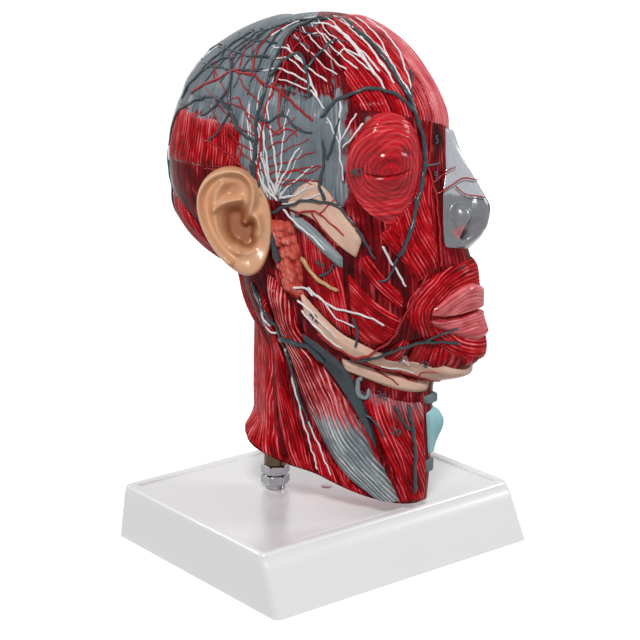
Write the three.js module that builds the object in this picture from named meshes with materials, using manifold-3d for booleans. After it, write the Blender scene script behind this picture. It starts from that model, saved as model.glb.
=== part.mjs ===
// Anatomical half head on a display base: the right half of a life-size head and neck,
// hollow, with the muscles, vessels, nerves and bones in relief, and a flat median section.
// Millimetres, +Z up. The origin is the middle of the underside of the base.
// The head turns on a vertical stud that stands on the base.
import * as THREE from 'three';
import { mergeVertices } from 'three/addons/utils/BufferGeometryUtils.js';
import Module from 'manifold-3d';

const wasm = await Module();
wasm.setup();

// Base: a hollow tray with a sloped front, closed from below by a plate.
const BASE_LENGTH = 214;
const BASE_DEPTH = 180;
const BASE_HEIGHT = 38;
const SIDE_DRAFT = 2;
const FRONT_DRAFT = 17;
const REAR_DRAFT = 5;
const BASE_EDGE_ROUND = 3;
const BASE_CORNER_ROUND = 5;
const BASE_WALL = 3;
const RIM_WIDTH = 4.5;
const RECESS_DEPTH = 1.2;
const COVER_THICKNESS = 2.5;
const PLUG_DIAMETER = 7.5;
const PLUG_HEAD_HEIGHT = 0.8;
const PLUG_BODY_DIAMETER = 5;
const PLUG_PLACE_X = 3.1;
const PLUG_PLACE_Y = -1.4;
const POST_INSET = 14;
const POST_DIAMETER = 9;

// Stud, nuts and washers that carry the head.
const STUD_PLACE_X = -26;
const STUD_PLACE_Y = 18;
const STUD_DIAMETER = 10;
const STUD_REACH_ABOVE = 43;
const NUT_ACROSS_FLATS = 17;
const NUT_HEIGHT = 6.6;
const NUT_CHAMFER = 0.8;
const SPACER_DIAMETER = 13;
const SPACER_HEIGHT = 3.2;
const UNDER_WASHER_DIAMETER = 24;
const UNDER_WASHER_HEIGHT = 1.6;

// Small gaps and overruns that all pieces share.
const GAP = 0.3;
const OVERRUN = 2;

// Head: its size, its place on the stud and its wall.
const HEAD_HALF_WIDTH = 74;
const HEAD_LENGTH = 190;
const HEAD_RISE = 314;
const NECK_TIP_CLEARANCE = 1.2;
const NECK_TIP_HEIGHT = BASE_HEIGHT + NECK_TIP_CLEARANCE;
const HEAD_YAW = 22;
const MEDIAN_FROM_STUD = 26.5;
const SHELL_WALL = 4;

// Layers over the shell: how thick each kind of tissue stands in relief.
const SKIN_THICKNESS = 2.4;
const STRAP_THICKNESS = 3.4;
const NECK_MUSCLE_THICKNESS = 6;
const TRAPEZIUS_THICKNESS = 4;
const BONE_THICKNESS = 3.2;
const GLAND_THICKNESS = 5;
const LIP_THICKNESS = 6.5;
const NOSE_PROJECTION = 25;
const LARYNX_PROJECTION = 6;
const VEIN_DIAMETER = 3;
const ARTERY_DIAMETER = 2.2;
const NERVE_DIAMETER = 2;
const DUCT_DIAMETER = 3;
const VESSEL_RIDE = 3.3;
const STRAP_VESSEL_RIDE = 5;
const DEEP_VESSEL_RIDE = 6.2;

// Ear: a shallow bowl with a raised rim on a short root.
const EAR_HEIGHT = 70;
const EAR_WIDTH = 44;
const EAR_RIM = 7;
const EAR_PLATE = 3;
const EAR_ROOT_DIAMETER = 26;
const EAR_FROM_MEDIAN_SHARE = 1.081;
const EAR_BACK_SHARE = -0.0316;
const EAR_RISE_SHARE = 0.614;
const EAR_LEAN = 18;
const EAR_FLARE = 28;

// Median section: a recessed plate with the cut organs standing on it.
const SECTION_RECESS = 4.3;
const SECTION_PLATE = 3;
const NECK_PLATE = 4;
const BUSH_DIAMETER = 15;
const BUSH_LENGTH = 29;

// Grid counts of the head surface.
const STATIONS = 30;
const SECTORS = 15;

// The head form is a smooth blend of rounded masses. Each row gives the middle, the half
// sizes (all as shares of half width, length and rise), the lean in degrees, the
// squareness and the width of its blend as a share of the length.
const MASS_SHARES = [
  { middle: [0, -0.089, 0.732], half: [1, 0.5, 0.2675], lean: -14, square: 2.2, blend: 0 },
  { middle: [0, 0.137, 0.672], half: [0.81, 0.242, 0.159], lean: 0, square: 2, blend: 0.116 },
  { middle: [0.216, -0.432, 0.787], half: [0.568, 0.126, 0.083], lean: 0, square: 2, blend: 0.084 },
  { middle: [0.162, -0.389, 0.583], half: [0.649, 0.242, 0.197], lean: -8, square: 2.1, blend: 0.095 },
  { middle: [0.595, -0.4, 0.589], half: [0.257, 0.137, 0.064], lean: 0, square: 2, blend: 0.074 },
  { middle: [0.351, -0.379, 0.443], half: [0.459, 0.253, 0.127], lean: -14, square: 2.2, blend: 0.084 },
  { middle: [0.622, -0.189, 0.481], half: [0.203, 0.126, 0.134], lean: -8, square: 2.2, blend: 0.084 },
  { middle: [0, -0.611, 0.353], half: [0.324, 0.116, 0.064], lean: -10, square: 2.1, blend: 0.084 },
  { middle: [0, -0.568, 0.481], half: [0.378, 0.126, 0.115], lean: -6, square: 2, blend: 0.074 },
  { middle: [0, -0.221, 0.226], half: [0.622, 0.326, 0.605], lean: 0, square: 2.2, blend: 0.084, top: 0.56 },
  { middle: [0, -0.158, 0.258], half: [0.622, 0.147, 0.229], lean: 4, square: 2, blend: 0.074 },
  { middle: [0.297, -0.116, 0.156], half: [0.432, 0.105, 0.223], lean: 4, square: 2, blend: 0.063 },
  { middle: [0.39, -0.012, 0.1], half: [0.37, 0.105, 0.057], lean: 0, square: 2, blend: 0.053 },
  { middle: [0.568, -0.095, 0.481], half: [0.27, 0.137, 0.108], lean: 0, square: 2, blend: 0.074 },
];
const CAP_STEEPNESS_SHARE = 0.8;

// Rays from a spine inside the head meet the form. A place on it is named by two numbers:
// around, in degrees from the front median line to the back one, and up, in percent,
// which is 0 at the cut of the neck, 60 at the top of the spine and 100 at the crown.
const SPINE_LOW_SHARE = 0.07;
const SPINE_HIGH_SHARE = 0.697;
const SPINE_LOW_BACK_SHARE = -0.2105;
const SPINE_HIGH_BACK_SHARE = -0.0947;
const SPINE_TOP_SHARE = 60;
const CROWN_SHARE = 100;
const NECK_CUT_SLOPE = 0.36;
const CHIN_SLOPE = 0.62;
const CHIN_STATION_SHARE = 0.594;
const NAPE_STATION_SHARE = 0.457;
const REACH_SHARE = 0.98;
const MARCH_STEPS = 40;
const HALVINGS = 16;
const PROBE_SHARE = 0.002;

// Sizes of the pieces' outlines and of round shapes.
const ROUND_SIDES = 20;
const TUBE_SIDES = 5;
const TUBE_STEP = 11;
const CROWN_POWER = 2.6;
const EDGE_SHARE = 0.3;

const toRadians = THREE.MathUtils.degToRad;
const MEDIAN_SNAP_SHARE = 0.0005;

function smoothStep(value) {
  const t = Math.min(Math.max(value, 0), 1);
  return t * t * (3 - 2 * t);
}

function smoothUnion(a, b, width) {
  const h = Math.min(Math.max(0.5 + (0.5 * (b - a)) / width, 0), 1);
  return b * (1 - h) + a * h - width * h * (1 - h);
}

const MASSES = MASS_SHARES.map((mass) => ({
  middle: [
    mass.middle[0] * HEAD_HALF_WIDTH,
    mass.middle[1] * HEAD_LENGTH,
    NECK_TIP_HEIGHT + mass.middle[2] * HEAD_RISE,
  ],
  half: [mass.half[0] * HEAD_HALF_WIDTH, mass.half[1] * HEAD_LENGTH, mass.half[2] * HEAD_RISE],
  cos: Math.cos(toRadians(mass.lean)),
  sin: Math.sin(toRadians(mass.lean)),
  square: mass.square,
  blend: mass.blend * HEAD_LENGTH,
  top: mass.top ? NECK_TIP_HEIGHT + mass.top * HEAD_RISE : null,
}));

// Signed distance, roughly, from one rounded mass.
function massDistance(mass, x, y, z) {
  const dx = Math.abs(x - mass.middle[0]);
  const dy = y - mass.middle[1];
  const dz = z - mass.middle[2];
  const along = dy * mass.cos + dz * mass.sin;
  const across = dz * mass.cos - dy * mass.sin;
  const sum = (dx / mass.half[0]) ** mass.square
    + (Math.abs(along) / mass.half[1]) ** mass.square
    + (Math.abs(across) / mass.half[2]) ** mass.square;
  const reach = (sum ** (1 / mass.square) - 1) * Math.min(...mass.half);
  return mass.top === null ? reach : Math.max(reach, (z - mass.top) * CAP_STEEPNESS_SHARE);
}

function formDistance(x, y, z) {
  let distance = null;
  for (const mass of MASSES) {
    const next = massDistance(mass, Math.abs(x), y, z);
    distance = distance === null ? next : smoothUnion(distance, next, mass.blend);
  }
  return distance;
}

// The spine point and the direction of the ray for a place on the head.
function spineRay(around, up) {
  const angle = toRadians(around);
  const climb = Math.min(up / SPINE_TOP_SHARE, 1);
  const lift = Math.max(up - SPINE_TOP_SHARE, 0) / (CROWN_SHARE - SPINE_TOP_SHARE);
  const tilt = (lift * Math.PI) / 2;
  const rise = THREE.MathUtils.lerp(SPINE_LOW_SHARE, SPINE_HIGH_SHARE, climb);
  const back = THREE.MathUtils.lerp(SPINE_LOW_BACK_SHARE, SPINE_HIGH_BACK_SHARE, climb);
  const origin = new THREE.Vector3(0, back * HEAD_LENGTH, NECK_TIP_HEIGHT + rise * HEAD_RISE);
  const front = Math.cos(angle);
  const growing = NECK_CUT_SLOPE + (CHIN_SLOPE - NECK_CUT_SLOPE) * smoothStep(climb / CHIN_STATION_SHARE);
  const fading = CHIN_SLOPE * (1 - smoothStep((climb - CHIN_STATION_SHARE) / (1 - CHIN_STATION_SHARE)));
  const frontSlope = climb < CHIN_STATION_SHARE ? growing : fading;
  const rearSlope = NECK_CUT_SLOPE * (1 - smoothStep(climb / NAPE_STATION_SHARE));
  const slope = front > 0 ? frontSlope : rearSlope;
  const direction = new THREE.Vector3(
    Math.sin(angle) * Math.cos(tilt),
    -front * Math.cos(tilt),
    lift > 0 ? Math.sin(tilt) : -front * slope,
  );
  return { origin, direction: direction.normalize() };
}

// The place where a ray leaves the form, and the outward normal there.
function headPlace(around, up) {
  const { origin, direction } = spineRay(around, up);
  const reach = REACH_SHARE * HEAD_LENGTH;
  const inside = (t) => formDistance(
    origin.x + direction.x * t,
    origin.y + direction.y * t,
    origin.z + direction.z * t,
  ) < 0;
  let far = reach;
  let near = reach;
  for (let i = MARCH_STEPS; i > 0; i -= 1) {
    near = (reach * (i - 1)) / MARCH_STEPS;
    if (inside(near)) break;
    far = near;
  }
  for (let i = 0; i < HALVINGS; i += 1) {
    const middle = (near + far) / 2;
    if (inside(middle)) near = middle;
    else far = middle;
  }
  const point = origin.clone().addScaledVector(direction, near);
  return { point, normal: formNormal(point) };
}

function formNormal(point) {
  const probe = PROBE_SHARE * HEAD_LENGTH;
  const slopeAlong = (x, y, z) => formDistance(point.x + x, point.y + y, point.z + z)
    - formDistance(point.x - x, point.y - y, point.z - z);
  const onMedian = Math.abs(point.x) < MEDIAN_SNAP_SHARE * HEAD_LENGTH;
  const normal = new THREE.Vector3(
    onMedian ? 0 : slopeAlong(probe, 0, 0),
    slopeAlong(0, probe, 0),
    slopeAlong(0, 0, probe),
  );
  return normal.normalize();
}

// The head frame has x towards the median section, measured from the stud.
function toHeadFrame(point) {
  return new THREE.Vector3(MEDIAN_FROM_STUD - point.x, point.y, point.z);
}

// Solids: points and triangles in, a closed body with its faces out.
function signedVolume(points, faces) {
  let volume = 0;
  for (const [a, b, c] of faces) {
    volume += points[a].dot(new THREE.Vector3().crossVectors(points[b], points[c]));
  }
  return volume;
}

function toSolid(points, faces) {
  const turned = signedVolume(points, faces) < 0 ? faces.map(([a, b, c]) => [a, c, b]) : faces;
  const geometry = new THREE.BufferGeometry();
  const numbers = points.flatMap((point) => point.toArray());
  geometry.setAttribute('position', new THREE.Float32BufferAttribute(numbers, 3));
  geometry.setIndex(turned.flat());
  return geometryToSolid(geometry);
}

function geometryToSolid(geometry) {
  const bare = geometry.clone();
  bare.deleteAttribute('normal');
  bare.deleteAttribute('uv');
  const merged = mergeVertices(bare);
  const index = merged.index.array;
  const kept = [];
  for (let i = 0; i < index.length; i += 3) {
    const [a, b, c] = [index[i], index[i + 1], index[i + 2]];
    if (a !== b && b !== c && c !== a) kept.push(a, b, c);
  }
  return new wasm.Manifold(new wasm.Mesh({
    numProp: 3,
    vertProperties: merged.attributes.position.array,
    triVerts: new Uint32Array(kept),
  }));
}

function toGeometry(solid) {
  const mesh = solid.getMesh();
  const geometry = new THREE.BufferGeometry();
  geometry.setAttribute('position', new THREE.BufferAttribute(mesh.vertProperties, mesh.numProp));
  geometry.setIndex(new THREE.BufferAttribute(mesh.triVerts, 1));
  return geometry;
}

// Two triangles for each cell of a grid of point numbers.
function gridFaces(rows, columns, at) {
  const faces = [];
  for (let i = 0; i + 1 < rows; i += 1) {
    for (let j = 0; j + 1 < columns; j += 1) {
      faces.push([at(i, j), at(i + 1, j), at(i + 1, j + 1)]);
      faces.push([at(i, j), at(i + 1, j + 1), at(i, j + 1)]);
    }
  }
  return faces;
}

// The largest body of a solid that a cut has left in several.
function largestBody(solid) {
  const bodies = solid.decompose();
  return bodies.sort((a, b) => b.volume() - a.volume())[0];
}

// The places of the head grid are found once and used by the shell and by every cutter.
const headGrid = [];
for (let i = 0; i <= STATIONS; i += 1) {
  const row = [];
  for (let j = 0; j <= SECTORS; j += 1) {
    row.push(headPlace((180 * j) / SECTORS, (CROWN_SHARE * i) / STATIONS));
  }
  headGrid.push(row);
}
const cutNormal = new THREE.Vector3(0, -NECK_CUT_SLOPE, 1).normalize();

// A grid place moved in or out along its normal; the cut of the neck stays flat and the
// median line stays on the median plane.
function movedPlace(i, j, offset) {
  const { point, normal } = headGrid[i][j];
  const direction = normal.clone();
  if (i === 0) direction.addScaledVector(cutNormal, -direction.dot(cutNormal));
  if (j === 0 || j === SECTORS || i === STATIONS) direction.x = 0;
  const moved = point.clone().addScaledVector(direction, offset);
  if (j === 0 || j === SECTORS || i === STATIONS) moved.x = 0;
  return moved;
}

// The half head as one full solid, its surface moved by an offset. One more row and two
// more columns carry it straight past the cut of the neck and the median plane.
function halfHead(offset, past = 0) {
  const extra = past > 0 ? 1 : 0;
  const points = [];
  for (let i = -extra; i <= STATIONS; i += 1) {
    for (let j = -extra; j <= SECTORS + extra; j += 1) {
      const moved = movedPlace(Math.max(i, 0), Math.min(Math.max(j, 0), SECTORS), offset);
      if (j < 0 || j > SECTORS) moved.x -= past;
      if (i < 0) moved.addScaledVector(cutNormal, -past);
      points.push(toHeadFrame(moved));
    }
  }
  const rows = STATIONS + 1 + extra;
  const columns = SECTORS + 1 + 2 * extra;
  const at = (i, j) => i * columns + j;
  const last = columns - 1;
  const faces = gridFaces(rows, columns, at);
  for (let i = 0; i + 1 < rows; i += 1) {
    faces.push([at(i, 0), at(i, last), at(i + 1, last)]);
    faces.push([at(i, 0), at(i + 1, last), at(i + 1, 0)]);
  }
  for (let j = 1; j < last; j += 1) faces.push([at(0, 0), at(0, j), at(0, j + 1)]);
  return toSolid(points, faces);
}

const headCutter = halfHead(GAP, OVERRUN);

// A sheet lies on the head between two edges, each a line of places. Its section across
// is crowned, and its underside follows the shell.
function edgeCurve(places) {
  return new THREE.CatmullRomCurve3(places.map(([around, up]) => new THREE.Vector3(around, up, 0)));
}

function crownShare(share) {
  return 1 - Math.abs(2 * share - 1) ** CROWN_POWER;
}

function sheetSolid(sheet, grow) {
  const { along, across } = sheet;
  const first = edgeCurve(sheet.firstShares);
  const second = edgeCurve(sheet.secondShares);
  const points = [];
  const rows = sheet.ring ? along : along + 1;
  for (let i = 0; i < rows; i += 1) {
    const run = i / along;
    const a = first.getPoint(run);
    const b = second.getPoint(run);
    for (let j = 0; j <= across; j += 1) {
      const turn = j / across;
      const place = headPlace(
        Math.min(Math.max(THREE.MathUtils.lerp(a.x, b.x, turn), 0), 180),
        THREE.MathUtils.lerp(a.y, b.y, turn),
      );
      const relief = sheet.relief ? sheet.relief(run, turn) : reliefOf(sheet, run, turn);
      const top = place.point.clone().addScaledVector(place.normal, GAP + relief + grow);
      const low = place.point.clone().addScaledVector(place.normal, -OVERRUN - grow);
      points.push(toHeadFrame(top), toHeadFrame(low));
    }
  }
  return toSolid(growSides(points, rows, across, sheet, grow), sheetFaces(rows, across, sheet.ring));
}

function reliefOf(sheet, run, turn) {
  const side = EDGE_SHARE + (1 - EDGE_SHARE) * crownShare(turn);
  const end = sheet.ring ? 1 : EDGE_SHARE + (1 - EDGE_SHARE) * crownShare(run) ** EDGE_SHARE;
  return sheet.thickness * side * end;
}

// The outer points of a sheet move sideways, away from its middle line, to clear a gap.
function growSides(points, rows, across, sheet, grow) {
  if (grow === 0) return points;
  const at = (i, j, k) => ((i * (across + 1)) + j) * 2 + k;
  const moved = points.map((point) => point.clone());
  for (let i = 0; i < rows; i += 1) {
    for (let k = 0; k < 2; k += 1) {
      const sides = [[0, 1], [across, across - 1]];
      for (const [edge, next] of sides) {
        const away = points[at(i, edge, k)].clone().sub(points[at(i, next, k)]).normalize();
        moved[at(i, edge, k)].addScaledVector(away, grow);
      }
    }
  }
  if (sheet.ring) return moved;
  for (let j = 0; j <= across; j += 1) {
    for (let k = 0; k < 2; k += 1) {
      const ends = [[0, 1], [rows - 1, rows - 2]];
      for (const [edge, next] of ends) {
        const away = points[at(edge, j, k)].clone().sub(points[at(next, j, k)]).normalize();
        moved[at(edge, j, k)].addScaledVector(away, grow);
      }
    }
  }
  return moved;
}

function turnedOver(faces) {
  return faces.map(([a, b, c]) => [a, c, b]);
}

function sheetFaces(rows, across, ring) {
  const at = (i, j, k) => (((i % rows) * (across + 1)) + j) * 2 + k;
  const lines = ring ? rows + 1 : rows;
  const top = gridFaces(lines, across + 1, (i, j) => at(i, j, 0));
  const low = turnedOver(gridFaces(lines, across + 1, (i, j) => at(i, j, 1)));
  const strip = (i, j, m, n) => [
    [at(i, j, 0), at(i, j, 1), at(m, n, 1)],
    [at(i, j, 0), at(m, n, 1), at(m, n, 0)],
  ];
  const sides = [];
  for (let i = 0; i + 1 < lines; i += 1) {
    sides.push(...strip(i, 0, i + 1, 0));
    sides.push(...turnedOver(strip(i, across, i + 1, across)));
  }
  if (!ring) {
    for (let j = 0; j < across; j += 1) {
      sides.push(...turnedOver(strip(0, j, 0, j + 1)));
      sides.push(...strip(rows - 1, j, rows - 1, j + 1));
    }
  }
  return [...top, ...low, ...sides];
}

// A vessel or nerve is a tree of round tubes that ride at one height over the shell.
function ridePoint(around, up, ride) {
  const place = headPlace(around, up);
  return toHeadFrame(place.point.addScaledVector(place.normal, ride));
}

function tubeSolid(route, ride, diameter) {
  const points = route.map(([around, up]) => ridePoint(around, up, ride));
  const path = new THREE.CatmullRomCurve3(points, false, 'centripetal');
  const ring = new THREE.Shape();
  for (let k = 0; k < TUBE_SIDES; k += 1) {
    const angle = (2 * Math.PI * k) / TUBE_SIDES;
    const x = (diameter / 2) * Math.cos(angle);
    const y = (diameter / 2) * Math.sin(angle);
    if (k === 0) ring.moveTo(x, y);
    else ring.lineTo(x, y);
  }
  const steps = Math.max(Math.round(path.getLength() / TUBE_STEP), 2);
  return geometryToSolid(new THREE.ExtrudeGeometry(ring, { steps, extrudePath: path, bevelEnabled: false }));
}

function treeSolid(tree, grow) {
  const tubes = tree.routeShares.map((route) => tubeSolid(route, tree.ride, tree.diameter + 2 * grow));
  return tubes.reduce((whole, tube) => whole.add(tube));
}

// Vessels, nerves and the duct: routes of places, trunk first.
const TREES = [
  {
    name: 'facial_vein',
    colour: 0x3a4248,
    diameter: VEIN_DIAMETER,
    ride: VESSEL_RIDE,
    routeShares: [
      [[32, 88], [27, 83], [24, 78], [22, 72], [19.5, 66.5], [20, 62.5], [23, 58.5], [28, 54.5], [33, 51.5]],
      [[21.5, 71], [27, 73.8], [34, 75.6], [43, 75.8], [52, 75], [59, 72.6]],
      [[20, 63], [16, 62.8]],
    ],
  },
  {
    name: 'jugular_vein',
    colour: 0x3a4248,
    diameter: VEIN_DIAMETER,
    ride: DEEP_VESSEL_RIDE,
    routeShares: [
      [[100, 34.5], [95, 31], [92, 28], [91, 24], [90, 19], [88, 14.5]],
      [[92, 28.5], [85, 30.2], [77, 30.6], [70, 30.2], [64, 28.5]],
    ],
  },
  {
    name: 'anterior_jugular_vein',
    colour: 0x3a4248,
    diameter: VEIN_DIAMETER,
    ride: STRAP_VESSEL_RIDE,
    routeShares: [[[20, 27], [19, 23], [17.5, 18], [17, 11], [17, 3]], [[27, 26], [24, 23], [18.5, 20]]],
  },
  {
    name: 'temporal_vein',
    colour: 0x3a4248,
    diameter: VEIN_DIAMETER,
    ride: VESSEL_RIDE,
    routeShares: [
      [[86, 54], [80, 55.2], [73, 56.6], [66, 57.4], [58, 57.4], [51, 56.6], [46, 54.4]],
      [[57, 57.6], [59, 61], [57, 65], [58, 69]],
    ],
  },
  {
    name: 'cranial_vein',
    colour: 0x3a4248,
    diameter: VEIN_DIAMETER,
    ride: VESSEL_RIDE,
    routeShares: [
      [[93, 60], [91, 66], [91, 73], [89, 78], [89, 83], [85, 88]],
      [[92, 68], [100, 70], [108, 73], [116, 74.5], [126, 74]],
      [[108, 73.5], [113, 78], [121, 81.5], [130, 81], [138, 78]],
    ],
  },
  {
    name: 'temporal_artery',
    colour: 0xa5191e,
    diameter: ARTERY_DIAMETER,
    ride: VESSEL_RIDE,
    routeShares: [[[86, 79], [80, 77.5], [73, 75.5], [66, 73.5], [62, 72]], [[80, 77.5], [79, 73], [77, 70]]],
  },
  {
    name: 'facial_nerve',
    colour: 0xe6dcdc,
    diameter: NERVE_DIAMETER,
    ride: VESSEL_RIDE,
    routeShares: [
      [[81, 57.6], [83, 61], [85, 66], [87, 70.5]],
      [[81, 58], [79, 62], [81, 67], [83, 71.5]],
      [[81, 58], [76, 61.5], [72, 65], [68, 67.5]],
    ],
  },
  {
    name: 'supraorbital_nerve',
    colour: 0xe6dcdc,
    diameter: NERVE_DIAMETER,
    ride: VESSEL_RIDE,
    routeShares: [
      [[33, 78], [36, 81.5], [40, 85.5], [46, 89], [55, 91.2], [68, 91.5]],
      [[36, 81.5], [44, 83.5], [49, 83]],
    ],
  },
  {
    name: 'buccal_nerve',
    colour: 0xe6dcdc,
    diameter: NERVE_DIAMETER,
    ride: VESSEL_RIDE,
    routeShares: [[[69, 43.4], [61, 42.8], [52, 43.2], [43, 44.2], [37, 44]]],
  },
  {
    name: 'parotid_duct',
    colour: 0xc79a5b,
    diameter: DUCT_DIAMETER,
    ride: VESSEL_RIDE,
    routeShares: [[[72, 47.6], [65, 46], [58, 45.4], [53, 45.6]]],
  },
];

// The nose stands out most at its tip; a wing bulges beside it over the nostril.
const NOSE_SPLIT_SHARE = 0.36;
const NOSE_TIP_SHARE = 0.8;
const NOSE_DROP_SHARE = 0.45;
const NOSE_POWER = 1.5;
const NOSE_RIDGE_POWER = 3;
const WING_SHARE = 0.34;
const WING_TURN_SHARE = 0.6;
const WING_BREADTH_SHARE = 0.26;

function noseRelief(run, turn) {
  const bridge = Math.sin((Math.PI / 2) * Math.min(run / NOSE_TIP_SHARE, 1)) ** NOSE_POWER;
  const under = Math.max(run - NOSE_TIP_SHARE, 0) / (1 - NOSE_TIP_SHARE);
  const ridge = Math.cos((Math.PI / 2) * turn) ** NOSE_RIDGE_POWER;
  const wing = WING_SHARE * Math.exp(-(((turn - WING_TURN_SHARE) / WING_BREADTH_SHARE) ** 2));
  const low = Math.exp(-(((run - NOSE_TIP_SHARE) / WING_BREADTH_SHARE) ** 2));
  const height = NOSE_PROJECTION * (1 - NOSE_DROP_SHARE * under ** 2);
  return SKIN_THICKNESS + height * (bridge * ridge + wing * low);
}

const RING_POINTS = 16;

// Places on a ring round a middle, from its top over the given number of degrees.
function ringShares(middle, radii, sweep) {
  const places = [];
  for (let k = 0; k <= RING_POINTS; k += 1) {
    const angle = toRadians((sweep * k) / RING_POINTS);
    places.push([middle[0] + radii[0] * Math.sin(angle), middle[1] + radii[1] * Math.cos(angle)]);
  }
  return places;
}

const EYE_RING_SHARES = { middle: [34, 63.4], inner: [7.2, 2.6], outer: [15.4, 9] };
const MOUTH_RING_SHARES = { middle: [0, 46.4], inner: [26, 3], outer: [31, 4.6] };
const RED = 0xa01020;
const PINK = 0xc8505a;
const GREY = 0x7f8a90;
const TAN = 0xd7b48c;

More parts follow.
